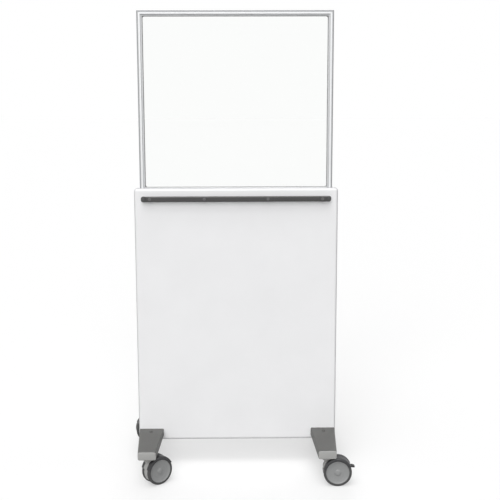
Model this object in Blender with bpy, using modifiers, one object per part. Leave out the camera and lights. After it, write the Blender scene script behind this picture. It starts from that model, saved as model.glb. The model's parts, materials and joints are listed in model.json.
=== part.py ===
"""Mobile lead barrier: a leaded panel with a lead-glass window, on four feet with twin-wheel casters.

The object stands on the floor at z = 0, centred on the origin. Its front, with the accessory rail,
faces -Y. All sizes are in metres.
"""

import math

import bmesh
import bpy
from mathutils import Matrix, Vector

# Clearances
GAP = 0.0003
WELD = 0.00001
CUT_OVERRUN = 0.004

# Casters
WHEEL_RADIUS = 0.0625
TYRE_THICKNESS = 0.011
TYRE_SHOULDER = 0.005
CASTER_WIDTH = 0.063
CASTER_TRAIL = 0.0475
WEB_THICKNESS = 0.024
WEB_START = math.radians(62)
WEB_END = math.radians(214)
WEB_NOSE_RADIUS = 0.057
WHEEL_SIDE_GAP = 0.0008
FENDER_GAP = 0.002
FENDER_THICKNESS = 0.0025
FENDER_START = math.radians(28)
FENDER_END = math.radians(170)
FENDER_SHOULDER = 0.006
FENDER_INNER_SHOULDER = 0.0045
LIP_THICKNESS = 0.0015
LIP_DEPTH = 0.010
HUB_RADIUS = 0.016
AXLE_RADIUS = 0.005
DISC_WEB = 0.009
DISC_LIP = 0.003
DISC_DISH = 0.004
BOSS_RADIUS = 0.015
HUB_CAP_WALL = 0.0035
HEAD_RADIUS = 0.021
HEAD_CHAMFER = 0.002
HEAD_RUNNING_GAP = 0.001
HEAD_FLANGE_RADIUS = 0.026
HEAD_FLANGE_THICKNESS = 0.003
STUD_RADIUS = 0.006
STUD_LENGTH = 0.015
COLLAR_RADIUS = 0.024
COLLAR_FOOT_RADIUS = 0.008
COLLAR_HEIGHT = 0.021
STEM_RADIUS = 0.005
STEM_LENGTH = 0.043

# Brake lever
PIVOT_FORWARD = 0.010
PIVOT_UP = 0.018
PIVOT_PIN_RADIUS = 0.003
LEVER_THICKNESS = 0.006
LEVER_EYE_RADIUS = 0.007
LEVER_NECK = 0.005
PEDAL_UP = 0.0275
PEDAL_TYRE_GAP = 0.008
PEDAL_LENGTH = 0.017
PEDAL_THICKNESS = 0.012
PEDAL_WIDTH = 0.036
PEDAL_ROUND = 0.003
SLOT_FLOOR = 0.009
SLOT_SETBACK = 0.009

# Feet
FOOT_HEIGHT = 0.036
FOOT_CLEARANCE = 0.0055
FOOT_LENGTH = 0.300
FOOT_INSET = 0.004
FOOT_ROOT_WIDTH = 0.111
FOOT_TIP_WIDTH = 0.079
FOOT_OUTER_TAPER = 0.0195
FOOT_SHEET = 0.002
FOOT_BEND = 0.004
FOOT_CAP_THICKNESS = 0.005
FOOT_CAP_CORNER = 0.006
FOOT_CAP_EDGE = 0.0015
FOOT_CAP_PLUG = 0.010
SWIVEL_SETBACK = 0.049

# Leaded panel
PANEL_WIDTH = 0.914
PANEL_HEIGHT = 1.176
PANEL_THICKNESS = 0.062
PANEL_DROP = 0.019
PANEL_FORWARD = 0.026
PANEL_CORNER_RADIUS = 0.015
PANEL_LOWER_CORNER_RADIUS = 0.015
PANEL_EDGE_RADIUS = 0.010
COVER_SHEET = 0.0015
LEAD_THICKNESS = 0.002
CROSS_RAIL_HEIGHT = 0.040
CROSS_RAIL_WALL = 0.003
CROSS_RAIL_CORNER = 0.004
MID_RAIL_HEIGHT_SHARE = 0.52

# Window
WINDOW_RISE = 0.775
FRAME_SETBACK = 0.026
FRAME_FACE = 0.0238
FRAME_DEPTH = 0.036
FRAME_OUTER_RADIUS = 0.006
FRAME_INNER_RADIUS = 0.002
SILL_REVEAL = 0.0020
PANE_THICKNESS = 0.012
PANE_BITE = 0.010
PANE_EDGE = 0.0006
GASKET_THICKNESS = 0.0024
GASKET_LIP = 0.003
GASKET_CORNER = 0.004

# Accessory rail
RAIL_HEIGHT = 0.025
RAIL_DEPTH = 0.010
RAIL_EDGE = 0.0015
RAIL_STANDOFF = 0.018
RAIL_BELOW_TOP = 0.0465
RAIL_LENGTH = 0.807
RAIL_CAP_LENGTH = 0.020
RAIL_CAP_GRIP = 0.012
RAIL_CAP_WALL = 0.0018
RAIL_CAP_CORNER = 0.008
SPACER_RADIUS = 0.006
SPACER_FLANGE_RADIUS = 0.010
SPACER_FLANGE = 0.003
SPACER_INNER_X = 0.142
SPACER_OUTER_X = 0.385

# Counts
WHEEL_STEPS = 24
TURNED_STEPS = 16
PIN_STEPS = 12
WHEEL_SPACE_STEPS = 24
SHOULDER_STEPS = 2
ARC_STEPS = 4
FENDER_STEPS = 12

# A face whose normal has more than this share along an axis faces that way
FACING_SHARE = 0.9

# Worked out from the sizes above
FENDER_INNER = WHEEL_RADIUS + FENDER_GAP
FENDER_OUTER = FENDER_INNER + FENDER_THICKNESS
LIP_RADIUS = FENDER_INNER - LIP_DEPTH
TYRE_WIDTH = CASTER_WIDTH / 2 - LIP_THICKNESS - WEB_THICKNESS / 2 - 2 * WHEEL_SIDE_GAP
WHEEL_CENTRE = WEB_THICKNESS / 2 + WHEEL_SIDE_GAP + TYRE_WIDTH / 2
RIM_RADIUS = WHEEL_RADIUS - TYRE_THICKNESS - GAP
BORE_RADIUS = AXLE_RADIUS + GAP
HEAD_REACH = CASTER_TRAIL - HEAD_RADIUS
HEAD_BOTTOM = WHEEL_RADIUS + math.sqrt(FENDER_OUTER**2 - HEAD_REACH**2) + HEAD_RUNNING_GAP
FOOT_UNDERSIDE = WHEEL_RADIUS + FENDER_OUTER + FOOT_CLEARANCE
PANEL_BOTTOM = FOOT_UNDERSIDE - PANEL_DROP
PANEL_TOP = PANEL_BOTTOM + PANEL_HEIGHT
FRAME_TOP = PANEL_TOP + WINDOW_RISE
SILL_TOP = PANEL_TOP + SILL_REVEAL
COVER_DEPTH = PANEL_THICKNESS / 2 - GAP / 2
INNER_FRONT = -PANEL_THICKNESS / 2 + COVER_SHEET + GAP
INNER_REAR = PANEL_THICKNESS / 2 - COVER_SHEET - GAP
GROOVE_WIDTH = PANE_THICKNESS + 2 * GASKET_THICKNESS + 4 * GAP
GROOVE_DEPTH = PANE_BITE + GAP
FRAME_WIDTH = PANEL_WIDTH - 2 * FRAME_SETBACK
OPENING_WIDTH = FRAME_WIDTH - 2 * FRAME_FACE
RAIL_Z = PANEL_TOP - RAIL_BELOW_TOP
RAIL_Y = -PANEL_THICKNESS / 2 - RAIL_STANDOFF - RAIL_DEPTH / 2
FOOT_OUTER_X = PANEL_WIDTH / 2 - FOOT_INSET
FOOT_ROOT_Y = PANEL_THICKNESS / 2 + GAP
SWIVEL_X = FOOT_OUTER_X - FOOT_OUTER_TAPER - FOOT_TIP_WIDTH / 2
SWIVEL_Y = PANEL_THICKNESS / 2 + FOOT_LENGTH - SWIVEL_SETBACK

# Where each caster trails at rest, as a turn about the vertical from +X
TRAIL_ANGLES = {
    "front_left": math.radians(38),
    "front_right": math.radians(0),
    "rear_left": math.radians(190),
    "rear_right": math.radians(42),
}
BRAKED = ("front_right", "rear_right")


def clear_scene():
    """Removes whatever the scene holds, and makes one collection for the parts and one for helpers."""
    for obj in list(bpy.data.objects):
        bpy.data.objects.remove(obj)
    made = []
    for name in ("mobile_lead_barrier", "helpers"):
        collection = bpy.data.collections.new(name)
        bpy.context.scene.collection.children.link(collection)
        made.append(collection)
    return made


PARTS, HELPERS = clear_scene()


def principled(name, colour, roughness, metallic=0.0, alpha=1.0):
    """A Principled material with the piece's colour, roughness and metallic value."""
    material = bpy.data.materials.new(name)
    material.use_nodes = True
    shader = material.node_tree.nodes["Principled BSDF"]
    shader.inputs["Base Color"].default_value = (*colour, 1.0)
    shader.inputs["Roughness"].default_value = roughness
    shader.inputs["Metallic"].default_value = metallic
    shader.inputs["Alpha"].default_value = alpha
    material.diffuse_color = (*colour, alpha)
    return material


WHITE_PAINT = principled("white_powder_coat", (0.84, 0.84, 0.85), 0.45)
ALUMINIUM = principled("anodised_aluminium", (0.78, 0.78, 0.79), 0.35, 0.9)
LEAD_GLASS = principled("lead_glass", (0.93, 0.94, 0.90), 0.05, 0.0, 0.25)
GASKET_RUBBER = principled("gasket_rubber", (0.20, 0.20, 0.20), 0.7)
LEAD = principled("sheet_lead", (0.25, 0.26, 0.28), 0.6, 0.8)
INNER_STEEL = principled("galvanised_steel", (0.55, 0.56, 0.57), 0.45, 0.9)
RAIL_PAINT = principled("dark_grey_rail", (0.10, 0.10, 0.10), 0.4)
CAP_PLASTIC = principled("dark_cap_plastic", (0.05, 0.05, 0.05), 0.5)
SPACER_STEEL = principled("spacer_steel", (0.50, 0.50, 0.50), 0.35, 1.0)
FOOT_PAINT = principled("grey_foot_paint", (0.20, 0.20, 0.19), 0.5)
FOOT_CAP_PLASTIC = principled("light_grey_foot_cap", (0.37, 0.37, 0.36), 0.5)
HEAD_STEEL = principled("zinc_plated_steel", (0.45, 0.45, 0.40), 0.4, 1.0)
HOOD_PLASTIC = principled("dark_hood_plastic", (0.03, 0.03, 0.035), 0.5)
TYRE_RUBBER = principled("tyre_rubber", (0.04, 0.04, 0.04), 0.75)
DISC_PLASTIC = principled("grey_wheel_disc", (0.29, 0.30, 0.30), 0.5)
LEVER_PLASTIC = principled("brake_lever_black", (0.02, 0.02, 0.02), 0.5)


def over_footprint(location):
    """A place moved forward with the panel, so that the origin lies below the middle of the footprint.

    The rear right caster trails furthest back, which is why the panel stands forward of that middle.
    """
    return Vector(location) - Vector((0, PANEL_FORWARD, 0))


def place(name, mesh, material, location=(0, 0, 0), rotation=(0, 0, 0), parent=None):
    """One named piece of the barrier, which may share its mesh with another piece."""
    if not mesh.materials:
        mesh.materials.append(material)
    obj = bpy.data.objects.new(name, mesh)
    PARTS.objects.link(obj)
    obj.location = location if parent else over_footprint(location)
    obj.rotation_euler = rotation
    obj.parent = parent
    return obj


def joint_empty(name, location, turn=0.0, parent=None):
    """An empty that stands on a joint's axis and carries what turns there."""
    empty = bpy.data.objects.new(name, None)
    PARTS.objects.link(empty)
    empty.location = location if parent else over_footprint(location)
    empty.rotation_euler = (0, 0, turn)
    empty.parent = parent
    return empty


def finished(obj, smooth=True):
    """The object's evaluated mesh, with the object and whatever cut or joined it removed."""
    bpy.context.view_layer.update()
    graph = bpy.context.evaluated_depsgraph_get()
    mesh = bpy.data.meshes.new_from_object(obj.evaluated_get(graph))
    mesh.name = obj.name
    mesh.transform(obj.matrix_basis)
    for modifier in list(obj.modifiers):
        if modifier.type == "BOOLEAN":
            bpy.data.objects.remove(modifier.object)
    bpy.data.objects.remove(obj)
    if smooth:
        mesh.shade_smooth()
        mesh.set_sharp_from_angle(angle=math.radians(30))
    return mesh


def helper(name, data):
    """A helper object that is shaped, cut or used as a cutter, and never kept itself."""
    obj = bpy.data.objects.new(name, data)
    HELPERS.objects.link(obj)
    obj.hide_render = True
    obj.display_type = "WIRE"
    return obj


def rounded(corners, steps=ARC_STEPS):
    """Points of a closed outline from corners given as (x, y, radius)."""
    points = []
    for index, (x, y, radius) in enumerate(corners):
        corner = Vector((x, y))
        if not radius:
            points.append(corner)
            continue
        back = (Vector(corners[index - 1][:2]) - corner).normalized()
        ahead = (Vector(corners[(index + 1) % len(corners)][:2]) - corner).normalized()
        half = back.angle(ahead) / 2
        centre = corner + (back + ahead).normalized() * (radius / math.sin(half))
        start = corner + back * (radius / math.tan(half)) - centre
        sweep = start.angle_signed(corner + ahead * (radius / math.tan(half)) - centre)
        for step in range(steps + 1):
            points.append(centre + Matrix.Rotation(-sweep * step / steps, 2) @ start)
    return points


def rectangle(left, right, bottom, top, radius=0.0):
    """Points of a rectangle whose four corners share one radius."""
    corners = ((left, bottom, radius), (right, bottom, radius), (right, top, radius), (left, top, radius))
    return rounded(corners)


def arc(radius, start, end, steps, centre=(0, 0)):
    """Points along an arc of a circle."""
    angles = [start + (end - start) * step / steps for step in range(steps + 1)]
    return [(centre[0] + radius * math.cos(a), centre[1] + radius * math.sin(a)) for a in angles]


def prism(name, outlines, thickness, upright=False):
    """An outline in the XY plane, with any holes after it, given a thickness along Z.

    An upright prism stands in the XZ plane instead, with its thickness along Y.
    """
    curve = bpy.data.curves.new(name, "CURVE")
    curve.dimensions = "2D"
    curve.fill_mode = "BOTH"
    curve.extrude = thickness / 2
    for outline in outlines:
        spline = curve.splines.new("POLY")
        spline.points.add(len(outline) - 1)
        for point, (x, y) in zip(spline.points, outline):
            point.co = (x, y, 0, 1)
        spline.use_cyclic_u = True
    mesh = finished(helper(name, curve), smooth=False)
    shape = bmesh.new()
    shape.from_mesh(mesh)
    bmesh.ops.remove_doubles(shape, verts=shape.verts, dist=WELD)
    bmesh.ops.dissolve_limit(
        shape, angle_limit=math.radians(0.5), verts=shape.verts, edges=shape.edges
    )
    if upright:
        bmesh.ops.transform(shape, matrix=Matrix.Rotation(math.pi / 2, 4, "X"), verts=shape.verts)
    bmesh.ops.recalc_face_normals(shape, faces=shape.faces)
    shape.to_mesh(mesh)
    shape.free()
    return helper(name, mesh)


def box(name, low, high):
    """A box between two opposite corners."""
    shape = bmesh.new()
    size = Vector(high) - Vector(low)
    middle = (Vector(high) + Vector(low)) / 2
    bmesh.ops.create_cube(shape, size=1, matrix=Matrix.Translation(middle) @ Matrix.Diagonal((*size, 1)))
    mesh = bpy.data.meshes.new(name)
    shape.to_mesh(mesh)
    shape.free()
    return helper(name, mesh)


def cylinder(name, radius, length, centre=(0, 0), steps=TURNED_STEPS, along_y=True):
    """A cylinder laid along Y about a point of the XZ plane, or upright about one of the XY plane."""
    shape = bmesh.new()
    bmesh.ops.create_cone(
        shape, cap_ends=True, segments=steps, radius1=radius, radius2=radius, depth=length
    )
    if along_y:
        bmesh.ops.transform(shape, matrix=Matrix.Rotation(math.pi / 2, 4, "X"), verts=shape.verts)
        place_at = (centre[0], 0, centre[1])
    else:
        place_at = (*centre, 0)
    bmesh.ops.translate(shape, vec=place_at, verts=shape.verts)
    mesh = bpy.data.meshes.new(name)
    shape.to_mesh(mesh)
    shape.free()
    return helper(name, mesh)


def turned(name, profile, steps=TURNED_STEPS, closed=False):
    """A profile of (radius, height) points turned about Z. Its outer side runs from top to bottom."""
    mesh = bpy.data.meshes.new(name)
    edges = [(index, index + 1) for index in range(len(profile) - 1)]
    if closed:
        edges.append((len(profile) - 1, 0))
    mesh.from_pydata([(radius, 0, height) for radius, height in profile], edges, [])
    obj = helper(name, mesh)
    screw = obj.modifiers.new("turn", "SCREW")
    screw.steps = steps
    screw.render_steps = steps
    screw.use_merge_vertices = True
    screw.merge_threshold = WELD
    return obj


def laid_along_y(obj, flip=False):
    """Lays a turned piece down, so that its axis, which pointed up, points along +Y or -Y."""
    mesh = finished(obj)
    mesh.transform(Matrix.Rotation(math.pi / 2 if flip else -math.pi / 2, 4, "X"))
    return mesh


def combine(obj, other, operation):
    """Cuts or joins another helper into this one."""
    modifier = obj.modifiers.new(other.name, "BOOLEAN")
    modifier.operation = operation
    modifier.solver = "EXACT"
    modifier.object = other
    return obj


def bevel(obj, width, segments=2, angle=math.radians(40)):
    """Rounds the edges that are sharper than an angle."""
    modifier = obj.modifiers.new("edge_rounding", "BEVEL")
    modifier.width = width
    modifier.segments = segments
    modifier.limit_method = "ANGLE"
    modifier.angle_limit = angle
    return obj


def shell(obj, keep, bend, bend_width, sheet):
    """Turns a closed prism into an open folded sheet: keeps some faces, rounds some bends, adds thickness."""
    shape = bmesh.new()
    shape.from_mesh(obj.data)
    shape.normal_update()
    bends = [edge for edge in shape.edges if bend(edge)]
    bmesh.ops.bevel(
        shape, geom=bends, offset=bend_width, segments=ARC_STEPS, profile=0.5, affect="EDGES"
    )
    shape.normal_update()
    open_faces = [face for face in shape.faces if not keep(face)]
    bmesh.ops.delete(shape, geom=open_faces, context="FACES")
    shape.to_mesh(obj.data)
    shape.free()
    solidify = obj.modifiers.new("sheet", "SOLIDIFY")
    solidify.thickness = sheet
    solidify.offset = -1
    solidify.use_even_offset = True
    return obj


def frame_profile():
    """Section of the window frame: X runs inwards from the outer side, with the pane's groove at its end."""
    depth = FRAME_DEPTH / 2
    groove = GROOVE_WIDTH / 2
    floor = FRAME_FACE - GROOVE_DEPTH
    return rounded(
        (
            (0, -depth, FRAME_OUTER_RADIUS),
            (FRAME_FACE, -depth, FRAME_INNER_RADIUS),
            (FRAME_FACE, -groove, 0),
            (floor, -groove, 0),
            (floor, groove, 0),
            (FRAME_FACE, groove, 0),
            (FRAME_FACE, depth, FRAME_INNER_RADIUS),
            (0, depth, FRAME_OUTER_RADIUS),
        )
    )


def frame_member(name, start, end, mitre_start, mitre_end):
    """A length of frame section along Z, with an end that slopes inwards at 45 degrees where it is mitred."""
    obj = prism(name, [frame_profile()], end - start)
    middle = (start + end) / 2
    for vertex in obj.data.vertices:
        if vertex.co.z > 0 and mitre_end:
            vertex.co.z -= vertex.co.x + GAP / 2
        if vertex.co.z < 0 and mitre_start:
            vertex.co.z += vertex.co.x + GAP / 2
        vertex.co.z += middle
    return finished(obj)


def build_window_frame():
    """Two uprights that reach down inside the panel, a mitred top rail and the sill rail."""
    upright = frame_member("upright", PANEL_BOTTOM + PANEL_EDGE_RADIUS, FRAME_TOP, False, True)
    place("left_upright", upright, ALUMINIUM, (-FRAME_WIDTH / 2, 0, 0))
    place("right_upright", upright, ALUMINIUM, (FRAME_WIDTH / 2, 0, 0), (0, 0, math.pi))
    top = frame_member("top_rail", -FRAME_WIDTH / 2, FRAME_WIDTH / 2, True, True)
    place("window_top_rail", top, ALUMINIUM, (0, 0, FRAME_TOP), (0, math.pi / 2, 0))
    half_sill = OPENING_WIDTH / 2 - GAP
    sill = frame_member("sill_rail", -half_sill, half_sill, False, False)
    place("window_sill_rail", sill, ALUMINIUM, (0, 0, SILL_TOP - FRAME_FACE), (0, -math.pi / 2, 0))


def build_glazing():
    """The lead-glass pane in the frame's groove, with a gasket on each face."""
    half_width = OPENING_WIDTH / 2 + PANE_BITE
    low = SILL_TOP - PANE_BITE
    high = FRAME_TOP - FRAME_FACE + PANE_BITE
    pane = prism("pane", [rectangle(-half_width, half_width, low, high)], PANE_THICKNESS, upright=True)
    place("lead_glass_pane", finished(bevel(pane, PANE_EDGE, 1)), LEAD_GLASS)
    outer = rectangle(-half_width, half_width, low, high)
    inner = rectangle(
        -OPENING_WIDTH / 2 + GASKET_LIP,
        OPENING_WIDTH / 2 - GASKET_LIP,
        SILL_TOP + GASKET_LIP,
        FRAME_TOP - FRAME_FACE - GASKET_LIP,
        GASKET_CORNER,
    )
    ring = finished(prism("gasket", [outer, inner], GASKET_THICKNESS, upright=True))
    offset = PANE_THICKNESS / 2 + GAP + GASKET_THICKNESS / 2
    place("front_gasket", ring, GASKET_RUBBER, (0, -offset, 0))
    place("rear_gasket", ring, GASKET_RUBBER, (0, offset, 0))


def cover_mesh():
    """Folded cover of the panel: a tray with rolled edges, open at the back and notched for the frame."""
    half = PANEL_WIDTH / 2
    outline = rounded(
        (
            (-half, PANEL_BOTTOM, PANEL_LOWER_CORNER_RADIUS),
            (half, PANEL_BOTTOM, PANEL_LOWER_CORNER_RADIUS),
            (half, PANEL_TOP, PANEL_CORNER_RADIUS),
            (-half, PANEL_TOP, PANEL_CORNER_RADIUS),
        )
    )
    tray = prism("cover", [outline], COVER_DEPTH, upright=True)
    front = -COVER_DEPTH / 2
    shell(
        tray,
        keep=lambda face: face.normal.y < FACING_SHARE,
        bend=lambda edge: all(vertex.co.y < front + WELD for vertex in edge.verts),
        bend_width=PANEL_EDGE_RADIUS,
        sheet=COVER_SHEET,
    )
    tray.data.transform(Matrix.Translation((0, front - GAP / 2, 0)))
    notch_width = FRAME_WIDTH / 2 + GAP
    cutter = box(
        "frame_notch",
        (-notch_width, -FRAME_DEPTH / 2 - GAP, PANEL_TOP - PANEL_EDGE_RADIUS),
        (notch_width, CUT_OVERRUN, PANEL_TOP + CUT_OVERRUN),
    )
    return finished(combine(tray, cutter, "DIFFERENCE"))


def build_panel():
    """Two covers face to face, the lead sheet behind the front one, and the rails that carry them."""
    cover = cover_mesh()
    place("front_cover", cover, WHITE_PAINT)
    place("rear_cover", cover, WHITE_PAINT, rotation=(0, 0, math.pi))
    flat_edge = PANEL_EDGE_RADIUS + GAP
    lead_outline = rectangle(
        -PANEL_WIDTH / 2 + flat_edge,
        PANEL_WIDTH / 2 - flat_edge,
        PANEL_BOTTOM + flat_edge,
        PANEL_TOP - flat_edge,
        PANEL_CORNER_RADIUS,
    )
    lead = prism("lead", [lead_outline], LEAD_THICKNESS, upright=True)
    place("lead_sheet", finished(lead), LEAD, (0, INNER_FRONT + LEAD_THICKNESS / 2, 0))
    front = INNER_FRONT + LEAD_THICKNESS + GAP
    half = CROSS_RAIL_HEIGHT / 2
    wall = CROSS_RAIL_WALL
    section = (
        rectangle(front, INNER_REAR, -half, half, CROSS_RAIL_CORNER),
        rectangle(front + wall, INNER_REAR - wall, wall - half, half - wall, CROSS_RAIL_CORNER - wall),
    )
    rail = finished(prism("cross_rail", section, OPENING_WIDTH - 2 * GAP))
    rail.transform(Matrix(((0, 0, 1, 0), (1, 0, 0, 0), (0, 1, 0, 0), (0, 0, 0, 1))))
    foot_level = FOOT_UNDERSIDE + FOOT_HEIGHT / 2 + half
    middle = PANEL_BOTTOM + PANEL_HEIGHT * MID_RAIL_HEIGHT_SHARE
    place("lower_cross_rail", rail, INNER_STEEL, (0, 0, foot_level))
    place("middle_cross_rail", rail, INNER_STEEL, (0, 0, middle))


def build_accessory_rail():
    """The dark rail across the front, its end caps and the four spacers that hold it off the panel."""
    half = RAIL_LENGTH / 2
    section = rectangle(-RAIL_DEPTH / 2, RAIL_DEPTH / 2, -RAIL_HEIGHT / 2, RAIL_HEIGHT / 2)
    bar = prism("rail", [section], RAIL_LENGTH)
    bar.data.transform(Matrix(((0, 0, 1, 0), (1, 0, 0, 0), (0, 1, 0, 0), (0, 0, 0, 1))))
    bevel(bar, RAIL_EDGE)
    tongue = Vector((half + RAIL_CAP_GRIP, RAIL_DEPTH / 2 - RAIL_CAP_WALL, RAIL_HEIGHT / 2 - RAIL_CAP_WALL))
    combine(bar, box("tongues", -tongue, tongue), "UNION")
    place("accessory_rail", finished(bar), RAIL_PAINT, (0, RAIL_Y, RAIL_Z))
    cap_outline = rounded(
        (
            (GAP, -RAIL_HEIGHT / 2, 0),
            (RAIL_CAP_LENGTH, -RAIL_HEIGHT / 2, RAIL_CAP_CORNER),
            (RAIL_CAP_LENGTH, RAIL_HEIGHT / 2, RAIL_CAP_CORNER),
            (GAP, RAIL_HEIGHT / 2, 0),
        )
    )
    cap = bevel(prism("cap", [cap_outline], RAIL_DEPTH, upright=True), RAIL_EDGE, 1)
    pocket = box(
        "pocket",
        (-CUT_OVERRUN, -tongue.y - GAP, -tongue.z - GAP),
        (RAIL_CAP_GRIP + GAP, tongue.y + GAP, tongue.z + GAP),
    )
    cap_piece = finished(combine(cap, pocket, "DIFFERENCE"))
    place("right_rail_cap", cap_piece, CAP_PLASTIC, (half, RAIL_Y, RAIL_Z))
    place("left_rail_cap", cap_piece, CAP_PLASTIC, (-half, RAIL_Y, RAIL_Z), (0, 0, math.pi))
    length = RAIL_STANDOFF - 2 * GAP
    spacer = laid_along_y(
        turned(
            "spacer",
            (
                (0, length),
                (SPACER_FLANGE_RADIUS, length),
                (SPACER_FLANGE_RADIUS, length - SPACER_FLANGE),
                (SPACER_RADIUS, length - SPACER_FLANGE),
                (SPACER_RADIUS, 0),
                (0, 0),
            ),
        )
    )
    stations = (-SPACER_OUTER_X, -SPACER_INNER_X, SPACER_INNER_X, SPACER_OUTER_X)
    for number, x in enumerate(stations, start=1):
        place(f"rail_spacer_{number}", spacer, SPACER_STEEL, (x, RAIL_Y + RAIL_DEPTH / 2 + GAP, RAIL_Z))


def foot_outline(inset, tip):
    """Plan of a right-hand front foot, from its outer root corner, drawn in by an inset."""
    taper = FOOT_OUTER_TAPER
    return (
        (-inset, 0),
        (-taper - inset, -tip),
        (-taper - FOOT_TIP_WIDTH + inset, -tip),
        (-FOOT_ROOT_WIDTH + inset, 0),
    )


def foot_mesh():
    """Foot: a tapered box of folded sheet, open at its tip, with a hole underneath for the caster's stud."""
    tip = FOOT_LENGTH - FOOT_CAP_THICKNESS - GAP
    body = prism("foot", [foot_outline(0, tip)], FOOT_HEIGHT)
    shell(
        body,
        keep=lambda face: face.normal.y > -FACING_SHARE,
        bend=lambda edge: abs(edge.verts[0].co.y - edge.verts[1].co.y) > FOOT_SHEET,
        bend_width=FOOT_BEND,
        sheet=FOOT_SHEET,
    )
    stud = (SWIVEL_X - FOOT_OUTER_X, FOOT_ROOT_Y - SWIVEL_Y)
    hole = cylinder("stud_hole", STUD_RADIUS + GAP, FOOT_HEIGHT, stud, along_y=False)
    hole.location.z = -FOOT_HEIGHT / 2
    return finished(combine(body, hole, "DIFFERENCE"))


def foot_cap_mesh():
    """Moulded cap of a foot: a plate across the tip with a plug that enters the folded body."""
    centre = -FOOT_OUTER_TAPER - FOOT_TIP_WIDTH / 2
    half = FOOT_TIP_WIDTH / 2
    top = FOOT_HEIGHT / 2
    face = rectangle(centre - half, centre + half, -top, top, FOOT_CAP_CORNER)
    plate = prism("foot_cap", [face], FOOT_CAP_THICKNESS, upright=True)
    plate.data.transform(Matrix.Translation((0, -FOOT_LENGTH + FOOT_CAP_THICKNESS / 2, 0)))
    bevel(plate, FOOT_CAP_EDGE, 1)
    side = half - FOOT_SHEET - FOOT_BEND
    plug = box(
        "plug",
        (centre - side, -FOOT_LENGTH + FOOT_CAP_THICKNESS / 2, -top + FOOT_SHEET + GAP),
        (centre + side, -FOOT_LENGTH + FOOT_CAP_THICKNESS + FOOT_CAP_PLUG, top - FOOT_SHEET - GAP),
    )
    return finished(combine(plate, plug, "UNION"))


def mirrored(mesh):
    """A left-hand copy of a right-hand mesh."""
    copy = mesh.copy()
    copy.transform(Matrix.Scale(-1, 4, (1, 0, 0)))
    copy.flip_normals()
    return copy


def build_feet():
    """Four feet with their caps: front and rear pairs, each the other turned half way round."""
    right = (foot_mesh(), foot_cap_mesh())
    left = tuple(mirrored(mesh) for mesh in right)
    z = FOOT_UNDERSIDE + FOOT_HEIGHT / 2
    stations = (
        ("front_right", right, FOOT_OUTER_X, -FOOT_ROOT_Y, 0),
        ("front_left", left, -FOOT_OUTER_X, -FOOT_ROOT_Y, 0),
        ("rear_left", right, -FOOT_OUTER_X, FOOT_ROOT_Y, math.pi),
        ("rear_right", left, FOOT_OUTER_X, FOOT_ROOT_Y, math.pi),
    )
    for corner, (body, cap), x, y, turn in stations:
        place(f"{corner}_foot", body, FOOT_PAINT, (x, y, z), (0, 0, turn))
        place(f"{corner}_foot_cap", cap, FOOT_CAP_PLASTIC, (x, y, z), (0, 0, turn))


def swivel_head_mesh():
    """Fixed top of a caster: stud into the foot, flange under it, swivel head, and the stem below."""
    seat = FOOT_UNDERSIDE - GAP
    return finished(
        turned(
            "swivel_head",
            (
                (0, FOOT_UNDERSIDE + STUD_LENGTH),
                (STUD_RADIUS, FOOT_UNDERSIDE + STUD_LENGTH),
                (STUD_RADIUS, seat),
                (HEAD_FLANGE_RADIUS, seat),
                (HEAD_FLANGE_RADIUS, seat - HEAD_FLANGE_THICKNESS),
                (HEAD_RADIUS, seat - HEAD_FLANGE_THICKNESS),
                (HEAD_RADIUS, HEAD_BOTTOM + HEAD_CHAMFER),
                (HEAD_RADIUS - HEAD_CHAMFER, HEAD_BOTTOM),
                (STEM_RADIUS, HEAD_BOTTOM),
                (STEM_RADIUS, HEAD_BOTTOM - STEM_LENGTH),
                (0, HEAD_BOTTOM - STEM_LENGTH),
            ),
        )
    )


def round_rims(obj, radius, width):
    """Rounds the two rims of a piece laid along Y, where its side faces meet its outer radius."""
    shape = bmesh.new()
    shape.from_mesh(obj.data)
    rims = []
    for edge in shape.edges:
        on_side = abs(edge.verts[0].co.y - edge.verts[1].co.y) < WELD
        if on_side and all(math.hypot(vertex.co.x, vertex.co.z) > radius - WELD for vertex in edge.verts):
            rims.append(edge)
    bmesh.ops.bevel(
        shape, geom=rims, offset=width, segments=SHOULDER_STEPS, profile=0.5, affect="EDGES"
    )
    shape.to_mesh(obj.data)
    shape.free()


def wheel_space(name):
    """The room for both wheels inside the hood, with the hood's inner roundings."""
    room = cylinder(name, FENDER_INNER, CASTER_WIDTH - 2 * LIP_THICKNESS, steps=WHEEL_SPACE_STEPS)
    round_rims(room, FENDER_INNER, FENDER_INNER_SHOULDER)
    return room


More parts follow.
